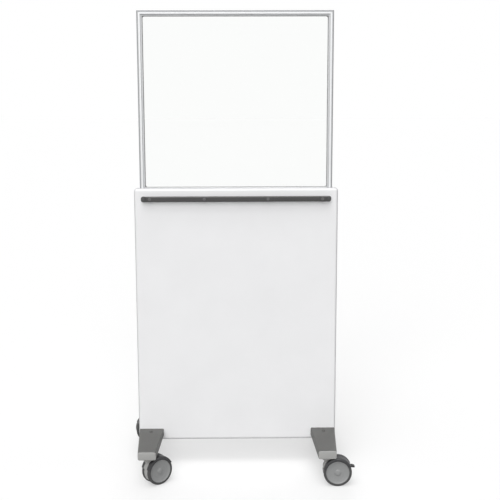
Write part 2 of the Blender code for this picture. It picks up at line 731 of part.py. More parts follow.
def hood_mesh(braked):
    """Moulded hood of a caster, about the wheels' axle: centre web, fender over both wheels, swivel collar.

    X points the way the caster trails, so the swivel axis is at -CASTER_TRAIL.
    """
    fender_outline = [
        *arc(FENDER_OUTER, FENDER_START, FENDER_END, FENDER_STEPS),
        *arc(LIP_RADIUS, FENDER_END, FENDER_START, FENDER_STEPS),
    ]
    hood = prism("hood", [fender_outline], CASTER_WIDTH, upright=True)
    round_rims(hood, FENDER_OUTER, FENDER_SHOULDER)
    combine(hood, wheel_space("fender_space"), "DIFFERENCE")
    web_outline = [
        *arc(HUB_RADIUS, WEB_END - math.pi * 3 / 2, math.pi / 6, ARC_STEPS * 2),
        *arc(FENDER_INNER + FENDER_THICKNESS / 2, WEB_START, FENDER_END, FENDER_STEPS),
        *arc(WEB_NOSE_RADIUS, FENDER_END, WEB_END, ARC_STEPS),
    ]
    combine(hood, prism("web", [web_outline], WEB_THICKNESS, upright=True), "UNION")
    collar_top = HEAD_BOTTOM - GAP - WHEEL_RADIUS
    collar = turned(
        "collar",
        (
            (0, collar_top),
            (COLLAR_RADIUS, collar_top),
            (COLLAR_FOOT_RADIUS, collar_top - COLLAR_HEIGHT),
            (0, collar_top - COLLAR_HEIGHT),
        ),
    )
    collar.location.x = -CASTER_TRAIL
    collar_piece = helper("collar_piece", finished(collar))
    combine(collar_piece, wheel_space("wheel_space"), "DIFFERENCE")
    combine(hood, helper("collar_cut", finished(collar_piece)), "UNION")
    stem_floor = HEAD_BOTTOM - STEM_LENGTH - GAP - WHEEL_RADIUS
    bore_length = collar_top + CUT_OVERRUN - stem_floor
    bore = cylinder("stem_bore", STEM_RADIUS + GAP, bore_length, (-CASTER_TRAIL, 0), along_y=False)
    bore.location.z = stem_floor + bore_length / 2
    combine(hood, helper("stem_cut", finished(bore)), "DIFFERENCE")
    combine(hood, cylinder("axle_bore", BORE_RADIUS, WEB_THICKNESS + 2 * CUT_OVERRUN), "DIFFERENCE")
    if braked:
        slot_width = LEVER_THICKNESS / 2 + GAP
        slot = box(
            "lever_slot",
            (PIVOT_FORWARD - SLOT_SETBACK, -slot_width, SLOT_FLOOR),
            (FENDER_INNER - CUT_OVERRUN, slot_width, PIVOT_UP + LEVER_EYE_RADIUS * 2),
        )
        combine(hood, slot, "DIFFERENCE")
        pin_length = (WEB_THICKNESS + LEVER_THICKNESS) / 2
        pin = cylinder("lever_pin", PIVOT_PIN_RADIUS, pin_length, (PIVOT_FORWARD, PIVOT_UP), PIN_STEPS)
        combine(hood, pin, "UNION")
    return finished(hood)


def tyre_mesh():
    """Solid tyre, a ring with rounded shoulders, turned about Z."""
    half = TYRE_WIDTH / 2
    inner = WHEEL_RADIUS - TYRE_THICKNESS
    shoulder = WHEEL_RADIUS - TYRE_SHOULDER
    edge = half - TYRE_SHOULDER
    upper = arc(TYRE_SHOULDER, math.pi / 2, 0, SHOULDER_STEPS, (shoulder, edge))
    lower = arc(TYRE_SHOULDER, 0, -math.pi / 2, SHOULDER_STEPS, (shoulder, -edge))
    profile = [(inner, half), *upper, *lower, (inner, -half)]
    return finished(turned("tyre", profile, WHEEL_STEPS, closed=True))


def disc_mesh():
    """Moulded wheel disc, dished on its outer face about a domed boss, with a blind bore for the axle."""
    half = TYRE_WIDTH / 2
    web = DISC_WEB / 2
    rim = RIM_RADIUS - DISC_LIP
    bore_end = half - HUB_CAP_WALL
    profile = (
        (0, half),
        (BOSS_RADIUS - DISC_LIP, half),
        (BOSS_RADIUS, half - DISC_LIP),
        (BOSS_RADIUS + DISC_DISH, web),
        (rim - DISC_DISH, web),
        (rim, half),
        (RIM_RADIUS, half),
        (RIM_RADIUS, -half),
        (BORE_RADIUS, -half),
        (BORE_RADIUS, bore_end),
        (0, bore_end),
    )
    return finished(turned("disc", profile, WHEEL_STEPS))


def brake_lever_mesh():
    """Brake lever about its own pivot: an arm between the wheels and a pedal wider than the gap."""
    bottom = PEDAL_UP - PEDAL_THICKNESS / 2 - PIVOT_UP
    underside = PEDAL_UP - PEDAL_THICKNESS / 2
    start = math.sqrt(WHEEL_RADIUS**2 - underside**2) + PEDAL_TYRE_GAP - PIVOT_FORWARD
    arm_outline = [
        (start + PEDAL_ROUND, bottom),
        (start + PEDAL_ROUND, bottom + LEVER_NECK),
        *arc(LEVER_EYE_RADIUS, math.pi / 2, math.pi * 3 / 2, ARC_STEPS * 2),
    ]
    arm = prism("lever", [arm_outline], LEVER_THICKNESS, upright=True)
    pedal_outline = rectangle(start, start + PEDAL_LENGTH, bottom, bottom + PEDAL_THICKNESS, PEDAL_ROUND)
    combine(arm, prism("pedal", [pedal_outline], PEDAL_WIDTH, upright=True), "UNION")
    hole_length = LEVER_THICKNESS + 2 * CUT_OVERRUN
    hole = cylinder("pin_hole", PIVOT_PIN_RADIUS + GAP, hole_length, steps=PIN_STEPS)
    return finished(combine(arm, hole, "DIFFERENCE"))


def axle_mesh():
    """Axle pin through the hood's web and into both discs."""
    half = WHEEL_CENTRE + TYRE_WIDTH / 2 - HUB_CAP_WALL - GAP
    return finished(cylinder("axle", AXLE_RADIUS, 2 * half))


def build_casters():
    """Four twin-wheel casters, each turned to the way it trails at rest.

    Seen along the way a caster trails, wheel 1 is the left one and wheel 2 the right one.
    """
    head = swivel_head_mesh()
    hoods = {True: hood_mesh(True), False: hood_mesh(False)}
    axle = axle_mesh()
    tyre = tyre_mesh()
    disc = disc_mesh()
    lever = brake_lever_mesh()
    for corner, angle in TRAIL_ANGLES.items():
        braked = corner in BRAKED
        x = SWIVEL_X if "right" in corner else -SWIVEL_X
        y = SWIVEL_Y if "rear" in corner else -SWIVEL_Y
        place(f"{corner}_swivel_head", head, HEAD_STEEL, (x, y, 0))
        swivel = joint_empty(f"{corner}_swivel", (x, y, 0), angle)
        wheels = joint_empty(f"{corner}_wheels", (CASTER_TRAIL, 0, WHEEL_RADIUS), parent=swivel)
        place(f"{corner}_hood", hoods[braked], HOOD_PLASTIC, parent=wheels)
        place(f"{corner}_axle", axle, SPACER_STEEL, parent=wheels)
        for number, sign in ((1, 1), (2, -1)):
            where = (0, sign * WHEEL_CENTRE, 0)
            lay = (-sign * math.pi / 2, 0, 0)
            place(f"{corner}_tyre_{number}", tyre, TYRE_RUBBER, where, lay, wheels)
            place(f"{corner}_disc_{number}", disc, DISC_PLASTIC, where, lay, wheels)
        if braked:
            pivot = (PIVOT_FORWARD, 0, PIVOT_UP)
            place(f"{corner}_brake_lever", lever, LEVER_PLASTIC, pivot, parent=wheels)


def main():
    """Builds the barrier from the panel outwards."""
    build_panel()
    build_window_frame()
    build_glazing()
    build_accessory_rail()
    build_feet()
    build_casters()


main()
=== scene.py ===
"""Looks of the mobile lead barrier: finer pieces, finishes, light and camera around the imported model.

Sizes are in metres and angles in degrees. The barrier stands on z = 0 with its accessory rail towards -Y.
"""

import json
import logging
import math
from abc import ABC, abstractmethod
from dataclasses import dataclass, field
from enum import Enum
from typing import Callable, Sequence

import bmesh
import bpy
from bpy.types import Mesh, Node, NodeSocket, NodeTree
from mathutils import Matrix, Vector


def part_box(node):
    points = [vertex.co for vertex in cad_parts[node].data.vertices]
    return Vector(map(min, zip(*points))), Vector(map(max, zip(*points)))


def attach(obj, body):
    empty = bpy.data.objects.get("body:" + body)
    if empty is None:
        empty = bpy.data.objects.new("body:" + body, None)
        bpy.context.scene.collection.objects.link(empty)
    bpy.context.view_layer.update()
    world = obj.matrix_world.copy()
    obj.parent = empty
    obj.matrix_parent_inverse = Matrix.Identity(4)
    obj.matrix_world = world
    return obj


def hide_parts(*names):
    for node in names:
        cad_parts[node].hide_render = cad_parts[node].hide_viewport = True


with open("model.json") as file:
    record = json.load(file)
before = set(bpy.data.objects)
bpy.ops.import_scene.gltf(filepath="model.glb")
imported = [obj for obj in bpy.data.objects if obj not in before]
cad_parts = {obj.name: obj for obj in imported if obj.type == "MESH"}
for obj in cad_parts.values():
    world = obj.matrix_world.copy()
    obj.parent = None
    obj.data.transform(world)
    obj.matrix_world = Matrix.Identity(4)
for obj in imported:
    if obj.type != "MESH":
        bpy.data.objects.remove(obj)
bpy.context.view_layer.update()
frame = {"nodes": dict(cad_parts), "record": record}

logging.basicConfig(level=logging.INFO, format="%(name)s: %(message)s")
log = logging.getLogger("barrier")

Point = tuple[float, float]
MM = 0.001
GAP = 0.0003  # left between pieces that touch
BARRIER = "barrier"
# the attribute that says how much shade is painted on a place near a rolled or drawn edge, from 0 to 1
PAINTED_EDGE_SHADE = "painted_edge_shade"
SHARP = 35.0  # edges of slabs sharper than this are rounded
WHITE = (1.0, 1.0, 1.0, 1.0)

# the caster's turned collar from its top rim down, as (radius, depth below the rim) in millimetres
COLLAR_PROFILE = (
    (0.0, 0.0), (22.8, 0.0), (24.0, 1.2), (23.6, 3.0), (20.5, 6.0), (13.5, 13.5), (10.0, 21.0), (0.0, 21.0),
)
# a wheel disc's face from its boss to its rim, as (radius, depth below the tyre's side) in millimetres
DISC_FACE = (
    (13.6, 3.2), (15.0, 3.6), (15.5, 4.2), (30.0, 4.0), (30.6, 3.4), (44.0, 2.6), (46.2, 1.8), (47.5, 0.6),
    (48.6, 0.0),
)
# the ribs behind a wheel disc, and those on a brake lever
DISC_RIBS = {"Ring_Radius": 0.0335, "Rib_Length": 0.029, "Rib_Width": 0.0018, "Rib_Height": 0.0035}
GRIP_RIBS = {"Pitch": 0.0026, "Rib_Radius": 0.0006, "Count": 5}


class Corner(Enum):
    """The four corners of the barrier, each with a foot and a caster."""

    FRONT_LEFT = "front_left"
    FRONT_RIGHT = "front_right"
    REAR_LEFT = "rear_left"
    REAR_RIGHT = "rear_right"

    @property
    def side(self) -> int:
        """1 on the right, -1 on the left."""
        return 1 if "right" in self.value else -1

    @property
    def depth(self) -> int:
        """1 at the rear, -1 at the front."""
        return 1 if "rear" in self.value else -1


BRAKED = (Corner.FRONT_RIGHT, Corner.REAR_RIGHT)

# the panel's middle plane, which stands in front of the origin
PANEL_PLANE = sum(side.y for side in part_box("lead_glass_pane")) / 2


def arc(radius: float, start: float, end: float, steps: int, centre: Point = (0.0, 0.0)) -> list[Point]:
    """Points along an arc.

    Args:
        radius: the arc's radius.
        start: its first angle.
        end: its last angle.
        steps: how many chords it has.
        centre: its centre.

    Returns:
        The points, one more than the steps.
    """
    angles = [math.radians(start + (end - start) * step / steps) for step in range(steps + 1)]
    return [(centre[0] + radius * math.cos(a), centre[1] + radius * math.sin(a)) for a in angles]


def rounded_rectangle(
    half_width: float, half_height: float, radius: float, steps: int = 8, support: float = 0.002
) -> list[Point]:
    """A rectangle with rounded corners, counter-clockwise from the lower left one.

    Args:
        half_width: half its width.
        half_height: half its height.
        radius: the corners' radius.
        steps: chords in each corner.
        support: how far from each corner an extra point keeps the straight side's shading flat.

    Returns:
        The outline's points.
    """
    outline: list[Point] = []
    for index, (sx, sz) in enumerate(((-1, -1), (1, -1), (1, 1), (-1, 1))):
        start = 180 + 90 * index
        middle = (sx * (half_width - radius), sz * (half_height - radius))
        curve = arc(radius, start, start + 90, steps, middle)
        for at, angle, way in ((curve[0], start, -1), (curve[-1], start + 90, 1)):
            turn = math.radians(angle)
            extra = (at[0] - way * support * math.sin(turn), at[1] + way * support * math.cos(turn))
            curve.insert(0 if way < 0 else len(curve), extra)
        outline.extend(curve)
    return outline


def mesh_from(shape: bmesh.types.BMesh, clean: bool = True) -> Mesh:
    """A mesh from a bmesh, which is freed.

    Args:
        shape: the bmesh.
        clean: whether doubles are merged and the faces turned outwards first.

    Returns:
        The mesh.
    """
    if clean:
        bmesh.ops.remove_doubles(shape, verts=shape.verts, dist=0.001 * MM)
        bmesh.ops.recalc_face_normals(shape, faces=shape.faces)
    mesh = bpy.data.meshes.new("skin")
    shape.to_mesh(mesh)
    shape.free()
    return mesh


def loft(
    rings: Sequence[Sequence[Vector]], caps: tuple[bool, bool] = (True, True), closed: bool = False
) -> Mesh:
    """A skin over rings of points that follow each other.

    Args:
        rings: the rings, each with the same number of points or, where it is a pole, with one.
        caps: whether the first and the last ring are filled.
        closed: whether the last ring joins the first.

    Returns:
        The mesh, its faces outwards.
    """
    shape = bmesh.new()
    rows = [[shape.verts.new(point) for point in ring] for ring in rings]
    for row, following in list(zip(rows, rows[1:])) + ([(rows[-1], rows[0])] if closed else []):
        for index in range(max(len(row), len(following))):
            ends = ((row, index), (row, index + 1), (following, index + 1), (following, index))
            shape.faces.new(dict.fromkeys(line[place % len(line)] for line, place in ends))
    for filled, row in zip(caps, (rows[0], rows[-1])):
        if filled and not closed:
            shape.faces.new(row)
    return mesh_from(shape)


def framed(
    node: str,
    section: Sequence[Point],
    radius: Callable[[float], float],
    steps: int,
    support: float = 0.002,
    **skin: object,
) -> Mesh:
    """A section carried round the outline of a CAD node's box, in the XZ plane.

    Args:
        node: the CAD node.
        section: (how far in from the outline, place in depth) points.
        radius: gives the corners' radius for how far in they lie.
        steps: chords in each corner.
        support: as for a rounded rectangle.
        skin: what else the loft is told.

    Returns:
        The mesh, in place.
    """
    low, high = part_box(node)
    half_width, half_height = (high.x - low.x) / 2, (high.z - low.z) / 2
    middle = (high.z + low.z) / 2
    rings = []
    for inset, y in section:
        outline = rounded_rectangle(half_width - inset, half_height - inset, radius(inset), steps, support)
        rings.append([Vector((x, y, middle + z)) for x, z in outline])
    return loft(rings, **skin)


def lathe(profile: Sequence[Point], steps: int, closed: bool = False) -> Mesh:
    """A profile turned about Z.

    Args:
        profile: (radius, height) points; a radius of 0 makes a pole.
        steps: how many points a full turn has.
        closed: whether the last point joins the first.

    Returns:
        The mesh, its faces outwards.
    """
    turns = [math.tau * step / steps for step in range(steps)]
    rings = []
    for radius, height in profile:
        angles = turns if radius else turns[:1]
        rings.append([Vector((radius * math.cos(a), radius * math.sin(a), height)) for a in angles])
    return loft(rings, caps=(False, False), closed=closed)


def slab(outline: Sequence[Point], thickness: float, rounding: float, segments: int = 3) -> Mesh:
    """A flat outline in the XZ plane with a thickness along Y and rounded edges.

    Args:
        outline: the outline's points.
        thickness: its thickness, centred on Y = 0.
        rounding: the width of the rounding of its sharp edges, or 0.
        segments: how many steps the rounding has.

    Returns:
        The mesh.
    """
    half = thickness / 2
    mesh = loft([[Vector((x, y, z)) for x, z in outline] for y in (-half, half)])
    if rounding:
        shape = bmesh.new()
        shape.from_mesh(mesh)
        limit = math.radians(SHARP)
        edges = [edge for edge in shape.edges if edge.is_manifold and edge.calc_face_angle() > limit]
        bmesh.ops.bevel(shape, geom=edges, offset=rounding, segments=segments, profile=0.5, affect="EDGES")
        shape.to_mesh(mesh)
        shape.free()
    return mesh


def block(low: Sequence[float], high: Sequence[float], rounding: float = 0.0) -> Mesh:
    """A box with rounded edges.

    Args:
        low: its lowest corner.
        high: its highest corner.
        rounding: the width of the rounding.

    Returns:
        The mesh, in place.
    """
    outline = [(low[0], low[2]), (high[0], low[2]), (high[0], high[2]), (low[0], high[2])]
    mesh = slab(outline, high[1] - low[1], rounding)
    mesh.transform(Matrix.Translation((0, (high[1] + low[1]) / 2, 0)))
    return mesh


def linked(name: str, data: bpy.types.ID) -> bpy.types.Object:
    """A new object in the scene.

    Args:
        name: its name.
        data: its mesh, lamp or camera.

    Returns:
        The object.
    """
    obj = bpy.data.objects.new(name, data)
    bpy.context.scene.collection.objects.link(obj)
    return obj


def baked(holder: bpy.types.Object) -> Mesh:
    """The plain mesh that an object's modifiers make.

    Args:
        holder: the object, which is removed.

    Returns:
        The mesh.
    """
    bpy.context.view_layer.update()
    graph = bpy.context.evaluated_depsgraph_get()
    mesh = bpy.data.meshes.new_from_object(holder.evaluated_get(graph))
    bpy.data.objects.remove(holder)
    return mesh


def evaluated(mesh: Mesh, kind: str, **settings: object) -> Mesh:
    """A mesh with a modifier applied.

    Args:
        mesh: the mesh.
        kind: the modifier's type.
        settings: its settings.

    Returns:
        The new mesh.
    """
    holder = linked("holder", mesh)
    modifier = holder.modifiers.new(kind.lower(), kind)
    for name, value in settings.items():
        setattr(modifier, name, value)
    return baked(holder)


def folded(mesh: Mesh, sheet: float) -> Mesh:
    """A skin given the thickness of a sheet, inwards."""
    return evaluated(mesh, "SOLIDIFY", thickness=sheet, offset=-1.0, use_even_offset=True)


def cut(mesh: Mesh, cutter: Mesh) -> Mesh:
    """A mesh with another, closed one cut out of it.

    Args:
        mesh: the mesh.
        cutter: what is cut out.

    Returns:
        The new mesh.
    """
    tool = linked("cutter", cutter)
    result = evaluated(mesh, "BOOLEAN", operation="DIFFERENCE", solver="EXACT", object=tool)
    bpy.data.objects.remove(tool)
    return result


def joined(*meshes: Mesh) -> Mesh:
    """One mesh from several, which keep their own surfaces.

    Args:
        meshes: the meshes.

    Returns:
        The new mesh.
    """
    shape = bmesh.new()
    for mesh in meshes:
        shape.from_mesh(mesh)
    return mesh_from(shape, clean=False)


def with_painted_shade(mesh: Mesh, amount: Callable[[Vector], float]) -> Mesh:
    """Writes how much shade is painted on each vertex near a rolled or drawn edge, for the finish.

    Args:
        mesh: the mesh.
        amount: gives the amount from 0 to 1 for a place.

    Returns:
        The same mesh.
    """
    layer = mesh.attributes.new(PAINTED_EDGE_SHADE, "FLOAT", "POINT")
    layer.data.foreach_set("value", [amount(vertex.co) for vertex in mesh.vertices])
    return mesh


def moved(mesh: Mesh, matrix: Matrix) -> Mesh:
    """A copy of a mesh, moved, with its faces kept outwards where the move mirrors it.

    Args:
        mesh: the mesh.
        matrix: the move.

    Returns:
        The copy.
    """
    copy = mesh.copy()
    copy.transform(matrix)
    if matrix.determinant() < 0:
        copy.flip_normals()
    return copy


def points(*places: Sequence[float]) -> Mesh:
    """A mesh of loose points.

    Args:
        places: where they lie.

    Returns:
        The mesh.
    """
    mesh = bpy.data.meshes.new("points")
    mesh.from_pydata([tuple(place) for place in places], [], [])
    return mesh


def linear(code: str) -> tuple[float, float, float, float]:
    """The linear colour of an sRGB hex code.

    Args:
        code: the code, with its hash.

    Returns:
        Red, green, blue and alpha.
    """
    parts = [int(code[index : index + 2], 16) / 255 for index in (1, 3, 5)]
    values = [part / 12.92 if part <= 0.04045 else ((part + 0.055) / 1.055) ** 2.4 for part in parts]
    return (*values, 1.0)


def fill(tree: NodeTree, node: Node, inputs: dict[str | int, object]) -> None:
    """Sets a node's inputs.

    Args:
        tree: the node's tree.
        node: the node.
        inputs: its inputs by name or number; a socket is linked, anything else is the value.
    """
    for key, value in inputs.items():
        if isinstance(value, NodeSocket):
            tree.links.new(value, node.inputs[key])
        else:
            node.inputs[key].default_value = value


def add(tree: NodeTree, kind: str, inputs: dict[str | int, object] | None = None, **settings: object) -> Node:
    """Adds a node to a tree.

    Args:
        tree: the tree.
        kind: the node's type.
        inputs: what its inputs are filled with.
        settings: its own settings.

    Returns:
        The node.
    """
    node = tree.nodes.new(kind)
    for name, value in settings.items():
        setattr(node, name, value)
    fill(tree, node, inputs or {})
    return node


# what a finish draws: its patches, what its gloss follows, and the height of its grain
Pattern = tuple[NodeSocket, NodeSocket, NodeSocket]
NOISE, CELLS = "ShaderNodeTexNoise", "ShaderNodeTexVoronoi"
NOISE_SPAN = {"From Min": 0.3, "From Max": 0.7}  # where noise lies


@dataclass(frozen=True)
class Finish(ABC):
    """A surface: its material's common name and how it was made.

    Its patches run from the colour low to the colour high, each its own colour where it isn't given. Its
    roughness lies between smoother and rougher. Edge is painted shade: a darker colour on the places that the
    mesh's attribute marks.
    """

    name: str
    slot: str
    colour: str
    roughness: float
    metallic: float = 0.0
    low: str = ""
    high: str = ""
    most: float = 1.0
    # painted shade: the colour put on the places that the mesh's attribute marks, empty for none
    edge: str = ""
    smoother: float = 0.05
    rougher: float = 0.1
    relief_mm: float = 0.02
    strength: float = 0.4

    @abstractmethod
    def pattern(self, tree: NodeTree, place: NodeSocket) -> Pattern:
        """Draws the finish.

        Args:
            tree: the material's tree.
            place: object coordinates, in metres.

        Returns:
            Its pattern.
        """

    @staticmethod
    def textures(tree: NodeTree, place: NodeSocket, *wanted: tuple[str, float, float]) -> list[NodeSocket]:
        """Adds textures: each one's type, how coarse it is in millimetres, and its detail."""
        scaled = [(kind, {"Scale": 1 / (size * MM), "Detail": detail}) for kind, size, detail in wanted]
        return [add(tree, kind, {"Vector": place, **inputs}).outputs[0] for kind, inputs in scaled]

    def material(self) -> bpy.types.Material:
        """The finish's material, made once.

        Returns:
            The material.
        """
        known = bpy.data.materials.get(self.name)
        if known:
            return known
        made = bpy.data.materials.new(self.name)
        made.use_nodes = True
        made.diffuse_color = tone = linear(self.colour)
        tree = made.node_tree
        shader = tree.nodes["Principled BSDF"]
        fill(tree, shader, {"Base Color": tone, "Roughness": self.roughness, "Metallic": self.metallic})
        patches, gloss, grain = self.pattern(tree, add(tree, "ShaderNodeTexCoord").outputs["Object"])
        if self.low or self.high:
            span = {**NOISE_SPAN, "To Max": self.most}
            share = add(tree, "ShaderNodeMapRange", {"Value": patches, **span}).outputs[0]
            ends = {6: linear(self.low or self.colour), 7: linear(self.high or self.colour)}
            tone = add(tree, "ShaderNodeMix", {"Factor": share, **ends}, data_type="RGBA").outputs[2]
        # paints shade on the marked edges by mixing in the edge colour
        if self.edge:
            near = add(tree, "ShaderNodeAttribute", attribute_name=PAINTED_EDGE_SHADE).outputs["Fac"]
            ends = {6: tone, 7: linear(self.edge)}
            tone = add(tree, "ShaderNodeMix", {"Factor": near, **ends}, data_type="RGBA").outputs[2]
        low, high = self.roughness - self.smoother, self.roughness + self.rougher
        span = {**NOISE_SPAN, "To Min": low, "To Max": high}
        rough = add(tree, "ShaderNodeMapRange", {"Value": gloss, **span}).outputs[0]
        relief = {"Height": grain, "Distance": self.relief_mm * MM, "Strength": self.strength}
        bump = add(tree, "ShaderNodeBump", relief).outputs["Normal"]
        fill(tree, shader, {"Base Color": tone, "Roughness": rough, "Normal": bump})
        return made


@dataclass(frozen=True)
class PowderCoat(Finish):
    """Powder coat baked on steel: a fine orange peel that softens the gloss, and a faint cloudiness."""

    low: str = "#D0D0D0"
    # painted shade: the rolled edges are coloured darker where the mesh's attribute marks them, standing in
    # for the shade that falls on them
    edge: str = "#B0B0B2"
    smoother: float = 0.06
    rougher: float = 0.06
    relief_mm: float = 0.05
    strength: float = 0.5
    # the real peel is about 1 mm across, too fine to show, so it is drawn coarser
    grain_mm: float = 5.0
    cloud_mm: float = 180.0

    def pattern(self, tree: NodeTree, place: NodeSocket) -> Pattern:
        """Orange peel from noise, and cloudiness from a much wider one."""
        peel, cloud = self.textures(tree, place, (NOISE, self.grain_mm, 2.0), (NOISE, self.cloud_mm, 3.0))
        return cloud, peel, peel


@dataclass(frozen=True)
class BrushedMetal(Finish):
    """Brushed and anodised metal: fine lines along the bar that stretch its highlights."""

    low: str = "#B9BABB"
    # painted shade: the drawn edges are coloured darker where the mesh's attribute marks them, standing in
    # for the shade that falls on them
    edge: str = "#A3A4A6"
    rougher: float = 0.07
    strength: float = 0.35
    # brushing of about 0.1 mm is drawn as coarse as it needs to show
    line_mm: float = 1.5
    stretch: float = 0.02
    along: tuple[float, float, float] = (0.0, 0.0, 1.0)

    def pattern(self, tree: NodeTree, place: NodeSocket) -> Pattern:
        """Noise drawn out along the brushing.

        Args:
            tree: the material's tree.
            place: object coordinates, in metres.

        Returns:
            Its pattern.
        """
        across = 1 / (self.line_mm * MM)
        scale = tuple(across * (self.stretch if part else 1.0) for part in self.along)
        stretched = add(tree, "ShaderNodeMapping", {"Vector": place, "Scale": scale}).outputs["Vector"]
        lines = add(tree, NOISE, {"Vector": stretched, "Scale": 1.0, "Detail": 3.0}).outputs["Fac"]
        return lines, lines, lines


@dataclass(frozen=True)
class MouldedPlastic(Finish):
    """Injection-moulded nylon or ABS: a spark-eroded matt grain, paler where hands and floors rub it."""

    high: str = "#A0A0A0"
    most: float = 0.12
    rougher: float = 0.08
    relief_mm: float = 0.03
    # eroded grain of 0.2 mm is drawn coarser, so that it shows
    grain_mm: float = 1.2
    scuff_mm: float = 12.0

    def pattern(self, tree: NodeTree, place: NodeSocket) -> Pattern:
        """Grain from Voronoi cells, scuffs from a coarse noise."""
        cells, scuffs = self.textures(tree, place, (CELLS, self.grain_mm, 0.0), (NOISE, self.scuff_mm, 4.0))
        return scuffs, scuffs, cells


@dataclass(frozen=True)
class Rubber(Finish):
    """Moulded rubber: matt, with dust in its tread that greys it."""

    high: str = "#5A5A58"
    most: float = 0.35
    smoother: float = 0.08
    relief_mm: float = 0.04
    dust_mm: float = 9.0
    tooth_mm: float = 0.8

    def pattern(self, tree: NodeTree, place: NodeSocket) -> Pattern:
        """Dust from noise, and a fine tooth."""
        dust, tooth = self.textures(tree, place, (NOISE, self.dust_mm, 5.0), (NOISE, self.tooth_mm, 2.0))
        return dust, dust, tooth


@dataclass(frozen=True)
class TurnedSteel(Finish):
    """Turned and zinc-plated steel: faint rings from the tool, and a cloudy plating."""

    low: str = "#8C8B84"
    smoother: float = 0.06
    strength: float = 0.3
    cloud_mm: float = 8.0
    ring_mm: float = 4.0

    def pattern(self, tree: NodeTree, place: NodeSocket) -> Pattern:
        """Cloudy plating from noise over fine waves.

        Args:
            tree: the material's tree.
            place: object coordinates, in metres.

        Returns:
            Its pattern.
        """
        (cloud,) = self.textures(tree, place, (NOISE, self.cloud_mm, 4.0))
        turning = {"Vector": place, "Scale": 1 / (self.ring_mm * MM), "Distortion": 0.4}
        return cloud, cloud, add(tree, "ShaderNodeTexWave", turning, bands_direction="Z").outputs["Fac"]


@dataclass(frozen=True)
class PolishedGlass(Finish):
    """Cast and polished lead glass: clear, with a faint waviness and a trace of colour in its depth."""

    smoother: float = 0.0
    rougher: float = 0.02
    relief_mm: float = 0.01
    strength: float = 0.1
    ior: float = 1.62
    wave_mm: float = 250.0

    def pattern(self, tree: NodeTree, place: NodeSocket) -> Pattern:
        """Transmission, and a waviness of the polish.

        Args:
            tree: the material's tree.
            place: object coordinates, in metres.

        Returns:
            Its pattern.
        """
        fill(tree, tree.nodes["Principled BSDF"], {"Transmission Weight": 1.0, "IOR": self.ior})
        (wave,) = self.textures(tree, place, (NOISE, self.wave_mm, 1.0))
        return wave, wave, wave


ALUMINIUM = ("anodised_aluminium", "#E6E7E8", 0.5, 0.3, "#DCDDDE")
LEVEL = (1.0, 0.0, 0.0)
WHITE_PAINT = PowderCoat("white_powder_coat_baked", "white_powder_coat", "#EDEDEE", 0.42, low="#EAEAEB")
FRAME_METAL = BrushedMetal("anodised_aluminium_satin", *ALUMINIUM)
# the top bar's edges get a darker painted shade than the uprights' edges
TOP_METAL = BrushedMetal("anodised_aluminium_satin_level", *ALUMINIUM, along=LEVEL, edge="#8E8F91")
LEAD_GLASS = PolishedGlass("lead_glass_polished", "lead_glass", "#FBFCFB", 0.0)
GASKET = Rubber("epdm_gasket_extruded", "gasket_rubber", "#8A8A8A", 0.6, high="#9C9C9C")
RAIL_COAT = PowderCoat(
    "dark_powder_coat_fine", "dark_grey_rail", "#3D3C3C", 0.32, low="#373636", grain_mm=2.0
)
RAIL_CAP = MouldedPlastic("black_nylon_moulded", "dark_cap_plastic", "#3C3C3C", 0.5, high="#5A5A5A")
STEEL = TurnedSteel("zinc_plated_steel_turned", "spacer_steel", "#B4B4B0", 0.35, 1.0)
BLACK_ZINC = TurnedSteel("black_zinc_steel_turned", "dark_grey_rail", "#6E6E6D", 0.45, 0.4, "#606060")
FOOT_COAT = PowderCoat(
    "grey_powder_coat_textured", "grey_foot_paint", "#565654", 0.55, low="#51514F", grain_mm=2.5
)
FOOT_CAP = MouldedPlastic("grey_abs_moulded", "light_grey_foot_cap", "#9D9D9B", 0.5, high="#AFAFAD")
HEAD = TurnedSteel("zinc_plated_steel_head", "zinc_plated_steel", "#A3A29A", 0.4, 1.0, "#84837B")
HOOD = MouldedPlastic("black_nylon_hood_moulded", "dark_hood_plastic", "#2C2C2E", 0.42, high="#4C4C4C")
BODY = MouldedPlastic("grey_nylon_body_moulded", "grey_wheel_disc", "#B2B2B0", 0.48, high="#C0C0BE")
TYRE = Rubber("black_rubber_moulded", "tyre_rubber", "#3C3C3D", 0.62)
DISC = MouldedPlastic("grey_nylon_disc_moulded", "grey_wheel_disc", "#8C8D8D", 0.46, high="#9E9E9E")
LEVER = MouldedPlastic("black_nylon_lever_moulded", "brake_lever_black", "#1E1E1E", 0.42, high="#3A3A3A")
LEAD = PowderCoat("rolled_lead_sheet", "sheet_lead", "#75777A", 0.6, 0.8, "#66686B")
ZINC_SHEET = BrushedMetal(
    "galvanised_sheet_rolled", "galvanised_steel", "#B8BABB", 0.45, 0.9, "#9FA1A3", along=LEVEL
)


def piece(
    name: str, mesh: Mesh, finish: Finish, *replaces: str, body: str = BARRIER, sharp: float = 32.0
) -> None:
    """Puts a finished piece of the barrier in the scene.

    Args:
        name: its name.
        mesh: its mesh, in the row frame.
        finish: its finish.
        replaces: the CAD nodes that it stands for.
        body: the body that it rides on.
        sharp: edges sharper than this angle stay sharp.
    """
    mesh.name = name
    mesh.materials.clear()
    mesh.materials.append(finish.material())
    mesh.shade_smooth()
    mesh.set_sharp_from_angle(angle=math.radians(sharp))
    obj = linked(name, mesh)
    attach(obj, body)
    if replaces:
        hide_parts(*replaces)
    log.info("%s: %d faces, rides on %s", name, len(mesh.polygons), body)


def dress_node(node: str, finish: Finish) -> None:
    """Gives a CAD node that stays as it is its finish.

    Args:
        node: the node.
        finish: the finish.
    """
    mesh = frame["nodes"][node].data
    mesh.materials.clear()
    mesh.materials.append(finish.material())
    log.info("%s: kept, finished as %s", node, finish.name)


